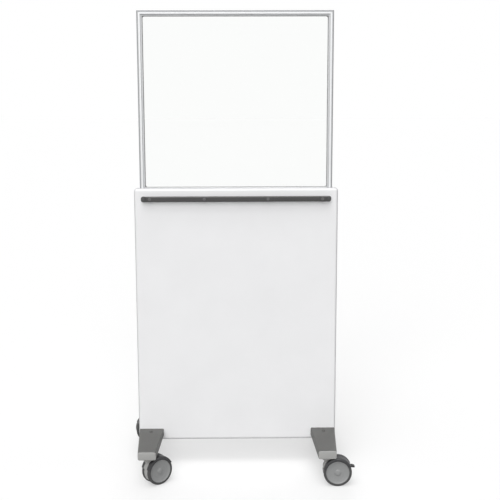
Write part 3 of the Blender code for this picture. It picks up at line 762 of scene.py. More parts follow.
class RepeatTree:
    """A Geometry Nodes tree that repeats one small shape, with named inputs for its sizes."""

    def __init__(self, name: str, **inputs: float) -> None:
        """Makes the tree and its inputs.

        Args:
            name: the tree's name.
            inputs: its inputs' defaults, with underscores for spaces; a whole number makes a count.
        """
        self.tree = bpy.data.node_groups.new(name, "GeometryNodeTree")
        self.identifiers: dict[str, str] = {}
        face = self.tree.interface
        face.new_socket("Geometry", in_out="INPUT", socket_type="NodeSocketGeometry")
        for key, value in inputs.items():
            kind = "NodeSocketInt" if isinstance(value, int) else "NodeSocketFloat"
            socket = face.new_socket(key.replace("_", " "), in_out="INPUT", socket_type=kind)
            socket.default_value = value
            self.identifiers[key] = socket.identifier
        socket = face.new_socket("Material", in_out="INPUT", socket_type="NodeSocketMaterial")
        self.identifiers["Material"] = socket.identifier
        face.new_socket("Geometry", in_out="OUTPUT", socket_type="NodeSocketGeometry")
        self.given = add(self.tree, "NodeGroupInput").outputs

    def add(self, kind: str, inputs: dict[str | int, object] | None = None, **settings: object) -> NodeSocket:
        """Adds a node to the tree and gives its first output."""
        return add(self.tree, kind, inputs, **settings).outputs[0]

    def finish(self, places: NodeSocket, shape: NodeSocket, rotation: object = (0.0, 0.0, 0.0)) -> None:
        """Ends the tree: the shape goes on each place, is made real and given the material.

        Args:
            places: the points.
            shape: the small shape.
            rotation: how it is turned on each point, in radians.
        """
        at = {"Points": places, "Instance": shape, "Rotation": rotation}
        placed = self.add("GeometryNodeInstanceOnPoints", at)
        real = self.add("GeometryNodeRealizeInstances", {"Geometry": placed})
        dressed = self.add("GeometryNodeSetMaterial", {"Geometry": real, "Material": self.given["Material"]})
        add(self.tree, "NodeGroupOutput", {"Geometry": dressed})

    def bake(self, base: Mesh, finish: Finish, **values: float) -> Mesh:
        """Runs the tree on a base mesh.

        Args:
            base: the mesh that the tree is given.
            finish: the finish of what it makes.
            values: its inputs, with underscores for the spaces in their names.

        Returns:
            The plain mesh.
        """
        holder = linked("holder", base)
        modifier = holder.modifiers.new("repeat", "NODES")
        modifier.node_group = self.tree
        for key, value in values.items():
            modifier[self.identifiers[key]] = value
        modifier[self.identifiers["Material"]] = finish.material()
        return baked(holder)


def screw_tree() -> RepeatTree:
    """Low round screw heads with a hexagon socket, one on each point of the base, their tops towards +Z.

    Returns:
        The tree.
    """
    heads = {"Head_Radius": 0.006, "Head_Height": 0.002}
    tree = RepeatTree("socket_screws", **heads, Socket_Radius=0.0025, Socket_Depth=0.0015, Steps=40)
    radius, height, socket_radius, depth, steps = list(tree.given)[1:6]
    # the head narrows a little towards its top
    top = tree.add("ShaderNodeMath", {0: radius, 1: 0.82}, operation="MULTIPLY")
    cone = {"Vertices": steps, "Radius Top": top, "Radius Bottom": radius, "Depth": height}
    head = tree.add("GeometryNodeMeshCone", cone)
    deep = tree.add("ShaderNodeMath", {0: depth, 1: 2.0}, operation="MULTIPLY")
    socket = tree.add("GeometryNodeMeshCylinder", {"Vertices": 6, "Radius": socket_radius, "Depth": deep})
    lift = tree.add("ShaderNodeCombineXYZ", {"Z": height})
    raised = tree.add("GeometryNodeTransform", {"Geometry": socket, "Translation": lift})
    drilled = tree.add("GeometryNodeMeshBoolean", {"Mesh 1": head, "Mesh 2": raised}, operation="DIFFERENCE")
    tree.finish(tree.given["Geometry"], drilled)
    return tree


def row_tree() -> RepeatTree:
    """A row of straight ribs along X, each lying along Y, centred on the origin.

    Returns:
        The tree.
    """
    tree = RepeatTree("rib_row", Pitch=0.003, Rib_Radius=0.0007, Rib_Length=0.03, Count=5, Steps=10)
    pitch, radius, length, count, steps = list(tree.given)[1:6]
    step = tree.add("ShaderNodeCombineXYZ", {"X": pitch})
    less = tree.add("ShaderNodeMath", {0: count, 1: 1.0}, operation="SUBTRACT")
    reach = tree.add("ShaderNodeMath", {0: less, 1: pitch}, operation="MULTIPLY")
    back = tree.add("ShaderNodeMath", {0: reach, 1: -0.5}, operation="MULTIPLY")
    start = tree.add("ShaderNodeCombineXYZ", {"X": back})
    line = tree.add("GeometryNodeMeshLine", {"Count": count, "Start Location": start, "Offset": step})
    rib = tree.add("GeometryNodeMeshCylinder", {"Vertices": steps, "Radius": radius, "Depth": length})
    tree.finish(line, rib, (math.pi / 2, 0.0, 0.0))
    return tree


def spoke_tree() -> RepeatTree:
    """Stiffening ribs in a ring about Z, each pointing outwards.

    Returns:
        The tree.
    """
    ribs = {"Rib_Length": 0.03, "Rib_Width": 0.0016, "Rib_Height": 0.004}
    tree = RepeatTree("rib_ring", Ring_Radius=0.03, **ribs, Count=12)
    radius, length, width, height, count = list(tree.given)[1:6]
    ring = tree.add("GeometryNodeMeshCircle", {"Vertices": count, "Radius": radius})
    size = tree.add("ShaderNodeCombineXYZ", {"X": length, "Y": width, "Z": height})
    rib = tree.add("GeometryNodeMeshCube", {"Size": size})
    index = tree.add("GeometryNodeInputIndex")
    share = tree.add("ShaderNodeMath", {0: index, 1: count}, operation="DIVIDE")
    turn = tree.add("ShaderNodeMath", {0: share, 1: math.tau}, operation="MULTIPLY")
    tree.finish(ring, rib, tree.add("ShaderNodeCombineXYZ", {"Z": turn}))
    return tree


@dataclass
class LeadedPanel:
    """The white panel: two folded covers face to face, with the hidden lead sheet and cross rails."""

    corner_radius: float = 0.015
    least_corner: float = 0.002
    edge_radius: float = 0.013
    face_margin: float = 0.002
    # where the painted shade on the rolled edge is darkest, and how far it reaches, as shares of the bend's
    # radius
    painted_shade_place: float = 0.7
    painted_shade_reach: float = 0.6
    sheet: float = 0.0015
    notch_over: float = 0.004
    corner_steps: int = 14
    edge_steps: int = 10

    def build(self) -> None:
        """Builds both covers and dresses what they hide."""
        cover = self.cover()
        piece("front_cover_sheet", cover, WHITE_PAINT, "front_cover")
        about = Matrix.Translation((0, PANEL_PLANE, 0))
        rear = moved(cover, about @ Matrix.Rotation(math.pi, 4, "Z") @ about.inverted())
        piece("rear_cover_sheet", rear, WHITE_PAINT, "rear_cover")
        dress_node("lead_sheet", LEAD)
        for node in ("lower_cross_rail", "middle_cross_rail"):
            dress_node(node, ZINC_SHEET)

    def cover(self) -> Mesh:
        """The front cover: rolled edges round a flat face, open at the back, notched for the window frame.

        Returns:
            The mesh, in place.
        """
        low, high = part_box("front_cover")
        roll = self.edge_radius
        bend = [
            (0.0, high.y), *arc(roll, 180, 270, self.edge_steps, (roll, low.y + roll)),
            (roll + self.face_margin, low.y),
        ]
        tray = framed("front_cover", bend, self.corner, self.corner_steps, caps=(False, True))
        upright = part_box("left_upright")[0]
        half = abs(upright.x) + GAP
        over = self.notch_over
        slot = block((-half, upright.y - GAP, high.z - roll), (half, high.y + over, high.z + over))
        # the rolled edges get painted shade through the edge attribute
        return with_painted_shade(cut(folded(tray, self.sheet), slot), lambda place: self.tone(place.y - low.y))

    def corner(self, inset: float) -> float:
        """The corners' radius that far in from the outline."""
        return max(self.corner_radius - inset, self.least_corner)

    def tone(self, depth: float) -> float:
        """How much shade is painted on a place on the rolled edge: most on the outer half of the bend, none
        elsewhere.
        """
        return max(0.0, 1 - abs(depth / self.edge_radius - self.painted_shade_place) / self.painted_shade_reach)


@dataclass
class LeadGlassWindow:
    """The window: mitred frame, sill, pane and the two gaskets."""

    face: float = 0.0238
    outer_radius: float = 0.0065
    inner_radius: float = 0.0012
    edge_fade: float = 0.0025
    # painted shade in the recessed glazing step, and how far the edges' painted shade reaches past their
    # rounding
    step_painted_shade: float = 0.6
    painted_shade_slack: float = 0.0002
    rebate_width: float = 0.0075
    rebate_depth: float = 0.005
    arris: float = 0.0005
    pane_edge: float = 0.0008
    pane_corner: float = 0.001
    lip: float = 0.0018
    gasket_corner: float = 0.008
    least_corner: float = 0.0006

    def build(self) -> None:
        """Builds the frame, the glazing and its gaskets."""
        self.members()
        low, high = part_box("lead_glass_pane")
        edge = self.pane_edge
        section = ((edge, low.y), (0.0, low.y + edge), (0.0, high.y - edge), (edge, high.y))
        pane = framed("lead_glass_pane", section, lambda inset: self.pane_corner, 2, 0.001)
        piece("window_pane", pane, LEAD_GLASS, "lead_glass_pane", sharp=20.0)
        self.bead("front_gasket")
        self.bead("rear_gasket")

    def section(self) -> list[Point]:
        """The frame's section, with soft corners and a step that holds the glass.

        Returns:
            (How far in from the outer side, place in depth) points.
        """
        low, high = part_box("left_upright")
        depth = (high.y - low.y) / 2
        outer, inner = self.outer_radius, self.inner_radius
        step, sunk = self.face - self.rebate_width, depth - self.rebate_depth
        front = [
            (0.0, outer + self.edge_fade - depth),
            *arc(outer, 180, 270, 10, (outer, outer - depth)), (outer + self.edge_fade, -depth),
            (step - inner - 0.001, -depth), *arc(inner, 270, 360, 4, (step - inner, inner - depth)),
            (step, -sunk), (self.face - self.arris, -sunk), (self.face, self.arris - sunk),
        ]
        whole = front + [(inset, -y) for inset, y in reversed(front)]
        return [(inset, PANEL_PLANE + y) for inset, y in whole]

    def tone(self, inset: float, y: float) -> float:
        """How much shade is painted on a place on a bar.

        Args:
            inset: how far in from the outer side it lies.
            y: its place in depth.

        Returns:
            1 on the rounded edges and less in the recessed glazing step, both painted shade; 0 on the faces
            and the outer side.
        """
        low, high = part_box("left_upright")
        inward = (high.y - low.y) / 2 - abs(y - PANEL_PLANE)
        reach = self.outer_radius + self.painted_shade_slack
        if inset > self.face - self.rebate_width - self.inner_radius + self.painted_shade_slack:
            return self.step_painted_shade
        return 1.0 if inset < reach and inward < reach else 0.0

    def members(self) -> None:
        """Builds both uprights, the top rail mitred to them, and the sill between them."""
        low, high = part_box("left_upright")
        side, top = low.x, high.z
        section = self.section()
        foot = [Vector((side + inset, y, low.z)) for inset, y in section]
        mitre = [Vector((side + inset, y, top - inset - GAP / 2)) for inset, y in section]
        # painted shade on the upright's rounded edges and glazing step, carried to the right one by the
        # mirror
        left = with_painted_shade(loft([foot, mitre]), lambda place: self.tone(place.x - side, place.y))
        piece("left_upright_bar", left, FRAME_METAL, "left_upright")
        right = moved(left, Matrix.Scale(-1, 4, (1, 0, 0)))
        piece("right_upright_bar", right, FRAME_METAL, "right_upright")
        mitre = [Vector((side + inset + GAP / 2, y, top - inset)) for inset, y in section]
        ends = [mitre, [Vector((-x, y, z)) for x, y, z in mitre]]
        # painted shade on the top bar's rounded edges and glazing step
        bar = with_painted_shade(loft(ends), lambda place: self.tone(top - place.z, place.y))
        piece("window_top_bar", bar, TOP_METAL, "window_top_rail")
        low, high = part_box("window_sill_rail")
        ends = [[Vector((x, y, low.z + inset)) for inset, y in section] for x in (low.x, high.x)]
        piece("window_sill_bar", loft(ends), TOP_METAL, "window_sill_rail")

    def bead(self, node: str) -> None:
        """Builds a gasket: a strip in the frame's groove with a round lip against the glass.

        Args:
            node: the CAD node that it replaces.
        """
        low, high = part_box(node)
        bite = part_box("lead_glass_pane")[1].x - (-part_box("left_upright")[0].x - self.face)
        end, least = bite + self.lip, self.least_corner
        radius = (high.y - low.y) / 2
        away = arc(radius, -90, 90, 6, (end - radius, (low.y + high.y) / 2))
        section = [(0.0, low.y), *away, (0.0, high.y)]

        def corner(inset: float) -> float:
            """The corners' radius that far in from the gasket's outline."""
            return max(least, self.gasket_corner - (end - inset)) if inset else least

        piece(f"{node}_bead", framed(node, section, corner, 4, 0.001, closed=True), GASKET, node)


@dataclass
class AccessoryRail:
    """The dark rail across the panel's front, its end caps, spacers and screws."""

    edge: float = 0.0049
    cap_corner: float = 0.009
    cap_edge: float = 0.0030
    screw_radius: float = 0.0068
    screw_height: float = 0.0016
    screw_sunk: float = 0.0006
    waist_share: float = 0.6
    flange: float = 0.003
    fillet: float = 0.0015
    arris: float = 0.0006
    chamfer: float = 0.0005
    spacer_steps: int = 48

    def build(self) -> None:
        """Builds the bar, caps, spacers and screws."""
        low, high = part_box("accessory_rail")
        cap_low, cap_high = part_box("right_rail_cap")
        depth, height = (high.y - low.y) / 2, (high.z - low.z) / 2
        centre = (low + high) / 2
        end = cap_low.x - GAP
        section = rounded_rectangle(depth, height, self.edge, 5, 0.0005)
        rings = [[Vector((x, centre.y + y, centre.z + z)) for y, z in section] for x in (-end, end)]
        piece("accessory_rail_bar", loft(rings), RAIL_COAT, "accessory_rail")
        corner = self.cap_corner
        x, z = cap_high.x - cap_low.x - corner, height - corner
        rounded = [*arc(corner, -90, 0, 8, (x, -z)), *arc(corner, 0, 90, 8, (x, z))]
        outline = [(0.0, -height), *rounded, (0.0, height)]
        cap = slab(outline, 2 * depth, self.cap_edge, 4)
        for side, turn in (("right", 0.0), ("left", math.pi)):
            x = cap_low.x if side == "right" else -cap_low.x
            place = Matrix.Translation((x, centre.y, centre.z)) @ Matrix.Rotation(turn, 4, "Z")
            piece(f"{side}_rail_end_cap", moved(cap, place), RAIL_CAP, f"{side}_rail_cap")
        self.fixings(low.y, centre.z)

    def fixings(self, front: float, level: float) -> None:
        """Builds the four turned spacers behind the rail, and a screw through it in front of each.

        Args:
            front: the rail's front face.
            level: the rail's middle height.
        """
        stations = []
        for number in range(1, 5):
            node = f"rail_spacer_{number}"
            low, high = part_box(node)
            x = (low.x + high.x) / 2
            spacer = self.spacer((high.x - low.x) / 2, high.y - low.y)
            spacer.transform(Matrix.Translation((x, low.y, level)) @ Matrix.Rotation(-math.pi / 2, 4, "X"))
            piece(f"{node}_turned", spacer, STEEL, node)
            stations.append((x, level, 0.0))
        sizes = {"Head_Radius": self.screw_radius, "Head_Height": self.screw_height}
        screws = screw_tree().bake(points(*stations), BLACK_ZINC, **sizes)
        place = Matrix.Translation((0, front + self.screw_sunk, 0))
        screws.transform(place @ Matrix.Rotation(math.pi / 2, 4, "X"))
        piece("rail_screws", screws, BLACK_ZINC)

    def spacer(self, radius: float, length: float) -> Mesh:
        """A turned spacer along Z, with a flange where it meets the panel.

        Args:
            radius: the flange's radius.
            length: the spacer's length.

        Returns:
            The mesh.
        """
        waist, flange, fillet = radius * self.waist_share, length - self.flange, self.fillet
        profile = [
            (0.0, 0.0), (waist - self.chamfer, 0.0), (waist, self.chamfer),
            (waist, flange - fillet), *arc(fillet, 180, 90, 4, (waist + fillet, flange - fillet)),
            (radius - self.arris, flange), (radius, flange + self.arris), (radius, length),
            (0.0, length),
        ]
        return lathe(profile, self.spacer_steps)


@dataclass
class TaperedFoot:
    """A foot: a tapered box of folded sheet with a moulded cap on its end and a bolt near its root."""

    corner: Corner
    screws: RepeatTree
    bend: float = 0.0045
    sheet: float = 0.002
    root_width: float = 0.111
    tip_width: float = 0.079
    outer_taper: float = 0.0195
    end_margin: float = 0.002
    cap_plate: float = 0.005
    cap_corner: float = 0.007
    cap_edge: float = 0.0022
    plug_edge: float = 0.0008
    bolt_from_root: float = 0.043
    bolt_radius: float = 0.0085
    bolt_height: float = 0.003
    bolt_sunk: float = 0.0006
    socket_radius: float = 0.004
    socket_depth: float = 0.002

    def matrix(self) -> Matrix:
        """Where the foot stands: its outer root corner, with -Y towards its tip and -X towards the middle.

        Returns:
            The move from the foot's own frame.
        """
        low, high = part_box(f"{self.corner.value}_foot")
        x = high.x if self.corner.side > 0 else low.x
        y = low.y if self.corner.depth > 0 else high.y
        mirror = Matrix.Diagonal((self.corner.side, -self.corner.depth, 1, 1))
        return Matrix.Translation((x, y, (low.z + high.z) / 2)) @ mirror

    def build(self) -> None:
        """Builds the body, the cap and the bolt."""
        name = self.corner.value
        low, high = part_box(f"{name}_foot")
        length, half = high.y - low.y, (high.z - low.z) / 2
        place = self.matrix()
        rings = []
        for y in (0.0, self.end_margin, length - self.end_margin, length):
            share = y / length
            width = self.root_width + (self.tip_width - self.root_width) * share
            middle = -self.outer_taper * share - width / 2
            section = rounded_rectangle(width / 2, half, self.bend)
            rings.append([Vector((middle + x, -y, z)) for x, z in section])
        body = folded(loft(rings, caps=(True, False)), self.sheet)
        piece(f"{name}_foot_body", moved(body, place), FOOT_COAT, f"{name}_foot")
        piece(f"{name}_foot_end", moved(self.cap(length, half), place), FOOT_CAP, f"{name}_foot_cap")
        bolt = self.screws.bake(
            points((-self.root_width / 2, -self.bolt_from_root, half + self.bolt_sunk)),
            FOOT_COAT,
            Head_Radius=self.bolt_radius,
            Head_Height=self.bolt_height,
            Socket_Radius=self.socket_radius,
            Socket_Depth=self.socket_depth,
        )
        piece(f"{name}_foot_bolt", moved(bolt, place), FOOT_COAT)

    def cap(self, length: float, half: float) -> Mesh:
        """The moulded cap: a plate with soft edges and a step that enters the body.

        Args:
            length: the body's length.
            half: half its height.

        Returns:
            The mesh, in the foot's own frame.
        """
        low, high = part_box(f"{self.corner.value}_foot_cap")
        plate, inside = self.cap_plate, half - self.sheet - GAP
        centre = -self.outer_taper - self.tip_width / 2
        outline = rounded_rectangle(self.tip_width / 2, half, self.cap_corner, 8, 0.001)
        face = slab(outline, plate, self.cap_edge, 4)
        face.transform(Matrix.Translation((centre, -length - GAP - plate / 2, 0)))
        reach = self.tip_width / 2 - self.sheet - self.bend
        back = -length - GAP - plate + high.y - low.y
        ends = (centre - reach, -length - plate / 2, -inside), (centre + reach, back, inside)
        return joined(face, block(*ends, self.plug_edge))


@dataclass
class TwinWheelCaster:
    """A twin-wheel caster: fixed swivel head, hood over both wheels, centre body, wheels and brake lever."""

    corner: Corner
    spokes: RepeatTree
    ribs: RepeatTree
    wheel_radius: float = 0.0625
    tyre_width: float = 0.0164
    tyre_thickness: float = 0.011
    tyre_shoulder: float = 0.0048
    tyre_lip: float = 0.0004
    groove_depth: float = 0.0006
    rib_lift: float = 0.0021
    bore: float = 0.0053
    wheel_centre: float = 0.0210
    hood_half: float = 0.0315
    hood_outer: float = 0.067
    hood_inner: float = 0.0645
    hood_lip: float = 0.0545
    hood_wall: float = 0.0015
    hood_arris: float = 0.0008
    dome_outer: float = 0.0062
    dome_inner: float = 0.0046
    roof_below: float = 0.0014
    hood_start: float = 28.0
    feather: float = 0.0016
    feather_span: float = 40.0
    nose_outer: float = 0.0028
    nose_inner: float = 0.0012
    nose_span: float = 38.0
    roof_end: float = 126.0
    hood_end: float = 165.0
    body_width: float = 0.024
    body_nose: float = 0.0605
    body_end: float = 214.0
    hub: float = 0.016
    stem: float = 0.005
    stud: float = 0.006
    waist: float = 0.021
    flange: float = 0.026
    fillet: float = 0.0015
    neck: float = 0.003
    head_room: float = 0.001
    pivot: Point = (0.010, 0.018)
    arm_width: float = 0.006
    eye: float = 0.007
    pin: float = 0.0033
    tab_width: float = 0.022
    tab_thickness: float = 0.0085
    tab_level: float = 0.0230
    tab_root: float = 0.046
    tab_end: float = 0.0765
    head_low: float = field(init=False)
    trail: float = field(init=False)
    place: Matrix = field(init=False)

    def __post_init__(self) -> None:
        """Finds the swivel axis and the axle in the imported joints."""
        joints = {joint["name"]: joint for joint in frame["record"]["behaviour"]["joints"]}
        name = self.corner.value
        swivel = Vector(joints[f"{name}_swivel"]["pos_m"])
        axle = Vector(joints[f"{name}_wheel_1_roll"]["pos_m"])
        trail = Vector((axle.x - swivel.x, axle.y - swivel.y, 0))
        self.place = Matrix.Translation(axle) @ Matrix.Rotation(math.atan2(trail.y, trail.x), 4, "Z")
        self.trail = trail.length
        # the head ends just above the place where the hood's top passes under its rim
        rise = math.sqrt(self.hood_outer**2 - (self.trail - self.waist) ** 2)
        self.head_low = self.wheel_radius + rise + self.head_room

    def put(self, part: str, mesh: Mesh, finish: Finish, body: str, *nodes: str) -> None:
        """Puts a piece of the caster in its place.

        Args:
            part: the piece's name after the corner's.
            mesh: its mesh about the axle, with X the way the caster trails.
            finish: its finish.
            body: the body's name after the corner's, or the whole name of the barrier.
            nodes: the CAD nodes that it replaces, without the corner's name.
        """
        name = self.corner.value
        whole = body if body == BARRIER else f"{name}_{body}"
        replaced = [f"{name}_{node}" for node in nodes]
        piece(f"{name}_{part}", moved(mesh, self.place), finish, *replaced, body=whole)

    def build(self) -> None:
        """Builds every piece of the caster."""
        self.put("swivel_stem", self.head(), HEAD, BARRIER, "swivel_head")
        self.put("hood_shell", self.hood(), HOOD, "caster", "hood")
        self.put("centre_body", self.centre_body(), BODY, "caster", "hood")
        dress_node(f"{self.corner.value}_axle", STEEL)
        ribs = self.spokes.bake(points((0, 0, 0)), DISC, **DISC_RIBS)
        ribs.transform(Matrix.Translation((0, 0, -self.tyre_width / 2 + self.rib_lift)))
        tyre, disc = self.tyre(), joined(self.disc(), ribs)
        for number, sign in ((1, 1), (2, -1)):
            lay = Matrix.Rotation(-sign * math.pi / 2, 4, "X")
            lay.translation.y = sign * self.wheel_centre
            body = f"wheel_{number}"
            self.put(f"tyre_{number}_tread", moved(tyre, lay), TYRE, body, f"tyre_{number}")
            self.put(f"disc_{number}_face", moved(disc, lay), DISC, body, f"disc_{number}")
        if self.corner in BRAKED:
            self.put("brake_pedal", self.lever(), LEVER, "brake", "brake_lever")

    def head(self) -> Mesh:
        """The swivel head: stud, flange, waisted body with a seal groove, and the stem below it.

        Returns:
            The mesh, about the axle.
        """
        low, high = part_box(f"{self.corner.value}_swivel_head")
        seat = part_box(f"{self.corner.value}_foot")[0].z - GAP
        base, stem, stud = self.head_low, self.stem, self.stud
        waist, flange, fillet = self.waist, self.flange, self.fillet
        neck = seat - self.neck
        profile = [
            (0.0, low.z), (stem - 0.0005, low.z), (stem, low.z + 0.0005), (stem, base),
            (waist - 0.0025, base), (waist - 0.0005, base + 0.0015), (waist, base + 0.003),
            (waist, neck - fillet), *arc(fillet, 180, 90, 3, (waist + fillet, neck - fillet)),
            (flange - 0.0005, neck), (flange, neck + 0.0005), (flange, seat), (stud, seat),
            (stud, high.z - 0.001), (stud - 0.001, high.z), (0.0, high.z),
        ]
        mesh = lathe(profile, 72)
        mesh.transform(Matrix.Translation((-self.trail, 0, -self.wheel_radius)))
        return mesh

    def hood(self) -> Mesh:
        """The dark hood: a domed fender with a thin lip over each wheel, and the roof that joins both.

        Returns:
            The mesh, about the axle.
        """
        half, outer, inner, arris = self.hood_half, self.hood_outer, self.hood_inner, self.hood_arris
        big, small = self.dome_outer, self.dome_inner
        inside, near = half - self.hood_wall, self.body_width / 2 + 0.0002
        section = [
            (outer - arris, near), (outer, near + arris),
            *arc(big, 0, 90, 7, (outer - big, half - big)), (self.hood_lip + 0.002, half),
            (self.hood_lip + 0.0007, half), (self.hood_lip, half - 0.0007), (self.hood_lip, inside),
            *arc(small, 90, 0, 5, (inner - small, inside - small)), (inner, near),
        ]
        fender = self.swept(section, self.hood_end, 60)
        top = outer - self.roof_below
        roof = [(inner, -near), (top, -near), (top, near), (inner, near)]
        strip = self.swept(roof, self.roof_end, 42)
        return joined(fender, moved(fender, Matrix.Scale(-1, 4, (0, 1, 0))), strip)

    def swept(self, section: Sequence[Point], end: float, steps: int) -> Mesh:
        """A section swept about the axle from the hood's thin start, tapered towards its nose.

        Args:
            section: (distance from the axle, place along it) points.
            end: the angle where the sweep ends.
            steps: how many steps it has.

        Returns:
            The mesh.
        """
        rings = []
        for step in range(steps + 1):
            angle = self.hood_start + (end - self.hood_start) * step / steps
            start = max(0.0, 1 - (angle - self.hood_start) / self.feather_span)
            nose = max(0.0, 1 - (self.hood_end - angle) / self.nose_span)
            thinner = self.feather * start + self.nose_outer * nose
            outside = self.hood_inner + self.hood_arris
            x, z = math.cos(math.radians(angle)), math.sin(math.radians(angle))
            ring = [(r - (thinner if r > outside else self.nose_inner * nose), y) for r, y in section]
            rings.append([Vector((r * x, y, r * z)) for r, y in ring])
        return loft(rings)

    def centre_body(self) -> Mesh:
        """The grey body between wheels and fenders, with the funnel-shaped collar that turns on the stem.

        Returns:
            The mesh, about the axle.
        """
        inner, outer = self.hood_inner, self.hood_outer
        outline = [
            *arc(self.hub, self.body_end - 270, 30, 16),
            *arc(inner - 0.0002, 62, self.roof_end, 26),
            *arc(outer - self.hood_arris, self.roof_end + 0.4, self.hood_end, 18),
            *arc(self.body_nose, self.hood_end + 3, self.body_end, 14),
        ]
        web = slab(outline, self.body_width, 0.0010, 2)
        if self.corner in BRAKED:
            slot = block((self.pivot[0] - 0.009, -self.pin, 0.009), (outer, self.pin, 0.032))
            web = cut(web, slot)
        top = self.head_low - GAP - self.wheel_radius
        collar = lathe([(radius * MM, top - down * MM) for radius, down in COLLAR_PROFILE], 64)
        collar.transform(Matrix.Translation((-self.trail, 0, 0)))
        return joined(web, cut(collar, self.rod(inner, 0.03, 96)))

    @staticmethod
    def rod(radius: float, half: float, steps: int, centre: Point = (0.0, 0.0)) -> Mesh:
        """A round rod along Y.

        Args:
            radius: its radius.
            half: half its length.
            steps: how many points a full turn has.
            centre: its middle in the XZ plane.

        Returns:
            The mesh.
        """
        mesh = lathe([(0.0, -half), (radius, -half), (radius, half), (0.0, half)], steps)
        turn = Matrix.Rotation(math.pi / 2, 4, "X")
        mesh.transform(Matrix.Translation((centre[0], 0, centre[1])) @ turn)
        return mesh

    def tyre(self) -> Mesh:
        """A tyre: crowned tread with a shallow groove, round shoulders, and a step where it meets the disc.

        Returns:
            The mesh, about Z.
        """
        half, radius = self.tyre_width / 2, self.wheel_radius
        shoulder, lip, inner = self.tyre_shoulder, self.tyre_lip, radius - self.tyre_thickness
        upper = [
            (inner, half - lip), (inner + lip, half),
            *arc(shoulder, 90, 0, 7, (radius - shoulder - 0.0002, half - shoulder)),
            (radius, 0.0009), (radius - self.groove_depth, 0.0005),
        ]
        return lathe(upper + [(r, -z) for r, z in reversed(upper)], 120, closed=True)

    def disc(self) -> Mesh:
        """A wheel disc: rim bead, shallow dish, stepped ring and a domed boss, blind towards the outside.

        Returns:
            The mesh, about Z.
        """
        half = self.tyre_width / 2
        rim = self.wheel_radius - self.tyre_thickness - GAP
        profile = [
            *[(0.013 * y, half - 0.0028 + 0.0026 * x) for x, y in arc(1.0, 0, 90, 8)],
            *[(radius * MM, half - down * MM) for radius, down in DISC_FACE], (rim - 0.0008, half),
            (rim, half - 0.0008), (rim, 0.0008 - half), (rim - 0.0008, -half),
            (rim - 0.0025, -half), (rim - 0.0035, 0.0035 - half), (0.0170, 0.0035 - half),
            (self.hub, -half), (self.bore, -half), (self.bore, half - 0.0035), (0.0, half - 0.0035),
        ]
        return lathe(profile, 96)

    def lever(self) -> Mesh:
        """The brake lever: an arm on its pin between the wheels, and a ribbed tab that stands out behind.

        Returns:
            The mesh, about the axle.
        """
        width, thick, end, root = self.tab_width, self.tab_thickness, self.tab_end, self.tab_root
        base = self.tab_level - thick / 2
        x, z = self.pivot
        arm_outline = [
            (root + 0.004, base + 0.0005), (root + 0.004, base + 0.006), (x + 0.012, base + 0.006),
            *arc(self.eye, 90, 270, 12, self.pivot), (x + 0.010, base - 0.0005),
        ]
        arm = cut(slab(arm_outline, self.arm_width, 0.0008, 2), self.rod(self.pin, 0.01, 32, (x, z)))
        tab_outline = [
            (root, base + 0.001), (end - 0.006, base - 0.001),
            *arc(0.0035, -90, 90, 10, (end - 0.0035, base + 0.0025)), (end - 0.012, base + thick),
            (root, base + thick),
        ]
        tab = slab(tab_outline, width, 0.0012)
        grip = self.ribs.bake(points((0, 0, 0)), LEVER, **GRIP_RIBS, Rib_Length=width - 0.005)
        grip.transform(Matrix.Translation((end - 0.016, 0, base + thick - 0.0002)))
        return joined(arm, tab, grip)


@dataclass(frozen=True)
class Softbox:
    """A wide soft lamp, far away."""

    name: str
    strength: float
    source: tuple[float, float, float]
    angle: float
    reflected: bool = True
    distance: float = 5.0

    def build(self) -> None:
        """Puts the lamp in the scene."""
        data = bpy.data.lights.new(self.name, "SUN")
        data.energy = self.strength
        data.angle = math.radians(self.angle)
        lamp = linked(self.name, data)
        lamp.location = Vector(self.source).normalized() * self.distance
        lamp.rotation_euler = Vector(self.source).to_track_quat("Z", "Y").to_euler()
        lamp.visible_glossy = self.reflected
        lamp.visible_transmission = self.reflected


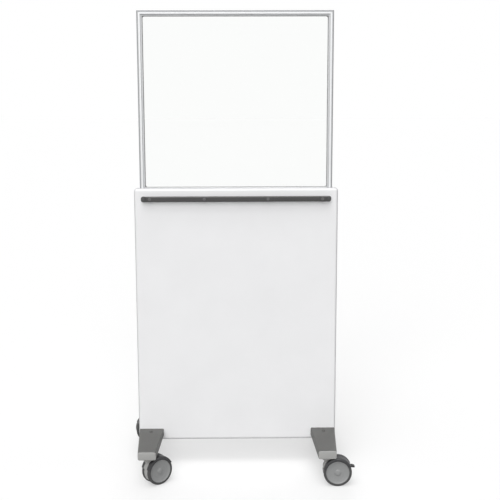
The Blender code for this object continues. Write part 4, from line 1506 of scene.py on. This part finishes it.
@dataclass
class Studio:
    """Pale floor, even soft light and the camera at the photograph's viewing angle."""

    world_strength: float = 0.30
    lamps: tuple[Softbox, ...] = (
        Softbox("front_softbox", 1.66, (-0.10, -0.87, 0.48), 44.0),
        Softbox("top_softbox", 1.7, (-0.12, -0.34, 0.93), 42.0),
        # a reflection of this one would glare on the flat tops, and its rim would show through the pane
        Softbox("rear_softbox", 1.6, (0.0, 0.92, 0.36), 40.0, reflected=False),
    )
    floor_glow: float = 0.464
    floor_share: float = 0.43
    floor_bounce: float = 0.30
    floor_half: float = 60.0
    floor_roughness: float = 0.9
    eye: tuple[float, float, float] = (0.00374, -4.28827, 1.71512)
    yaw: float = 0.78
    pitch: float = 9.44
    roll: float = -0.14
    focal_pixels: float = 950.0
    image_size: int = 500
    sensor: float = 36.0

    def build(self) -> None:
        """Builds the world, the lamps, the floor and the camera."""
        self.world()
        for lamp in self.lamps:
            lamp.build()
        self.floor()
        self.camera()
        bpy.context.scene.view_settings.view_transform = "Standard"

    @staticmethod
    def seen(tree: NodeTree) -> NodeSocket:
        """Tells the rays that see a white studio from those that carry light.

        Args:
            tree: the tree that asks.

        Returns:
            1 for a camera, glossy or transmission ray, or else 0.
        """
        rays = add(tree, "ShaderNodeLightPath").outputs
        first = {0: rays["Is Camera Ray"], 1: rays["Is Glossy Ray"]}
        either = add(tree, "ShaderNodeMath", first, operation="MAXIMUM").outputs[0]
        both = {0: either, 1: rays["Is Transmission Ray"]}
        return add(tree, "ShaderNodeMath", both, operation="MAXIMUM").outputs[0]

    def world(self) -> None:
        """Builds a white surround that lights the object evenly."""
        world = bpy.data.worlds.new("studio")
        bpy.context.scene.world = world
        world.use_nodes = True
        tree = world.node_tree
        inputs = {"Value": self.seen(tree), "To Min": self.world_strength, "To Max": 1.0}
        strength = add(tree, "ShaderNodeMapRange", inputs).outputs["Result"]
        fill(tree, tree.nodes["Background"], {"Color": WHITE, "Strength": strength})

    def floor(self) -> None:
        """Builds a pale floor that looks white where no shadow falls."""
        half = self.floor_half
        mesh = bpy.data.meshes.new("floor")
        corners = [(-half, -half, 0), (half, -half, 0), (half, half, 0), (-half, half, 0)]
        mesh.from_pydata(corners, [], [(0, 1, 2, 3)])
        material = bpy.data.materials.new("pale_floor_matt")
        material.use_nodes = True
        tree = material.node_tree
        seen = self.seen(tree)
        share = {"Value": seen, "To Min": self.floor_bounce, "To Max": self.floor_share}
        grey = add(tree, "ShaderNodeMapRange", share).outputs["Result"]
        glow = add(tree, "ShaderNodeMath", {0: seen, 1: self.floor_glow}, operation="MULTIPLY").outputs[0]
        matt = {"Base Color": grey, "Roughness": self.floor_roughness, "Specular IOR Level": 0.0}
        white = {"Emission Color": WHITE, "Emission Strength": glow}
        fill(tree, tree.nodes["Principled BSDF"], matt | white)
        mesh.materials.append(material)
        obj = linked("floor", mesh)

    def camera(self) -> None:
        """Builds the camera, from its fitted place, turn, pitch and roll."""
        yaw, pitch, roll = (math.radians(value) for value in (self.yaw, self.pitch, self.roll))
        ahead = Vector((math.sin(yaw) * math.cos(pitch), math.cos(yaw) * math.cos(pitch), -math.sin(pitch)))
        right = Vector((math.cos(yaw), -math.sin(yaw), 0))
        up = right.cross(ahead)
        across = right * math.cos(roll) + up * math.sin(roll)
        above = up * math.cos(roll) - right * math.sin(roll)
        data = bpy.data.cameras.new("camera")
        data.sensor_width = self.sensor
        data.lens = self.focal_pixels * self.sensor / self.image_size
        data.clip_end = 200.0
        camera = linked("camera", data)
        turn = Matrix((across, above, -ahead)).transposed().to_4x4()
        camera.matrix_world = Matrix.Translation(self.eye) @ turn
        bpy.context.scene.camera = camera


def main() -> None:
    """Builds the barrier's looks from the panel outwards, then the studio."""
    LeadedPanel().build()
    LeadGlassWindow().build()
    AccessoryRail().build()
    screws, spokes, ribs = screw_tree(), spoke_tree(), row_tree()
    for corner in Corner:
        TaperedFoot(corner, screws).build()
        TwinWheelCaster(corner, spokes, ribs).build()
    Studio().build()


if __name__ == "__main__":
    main()
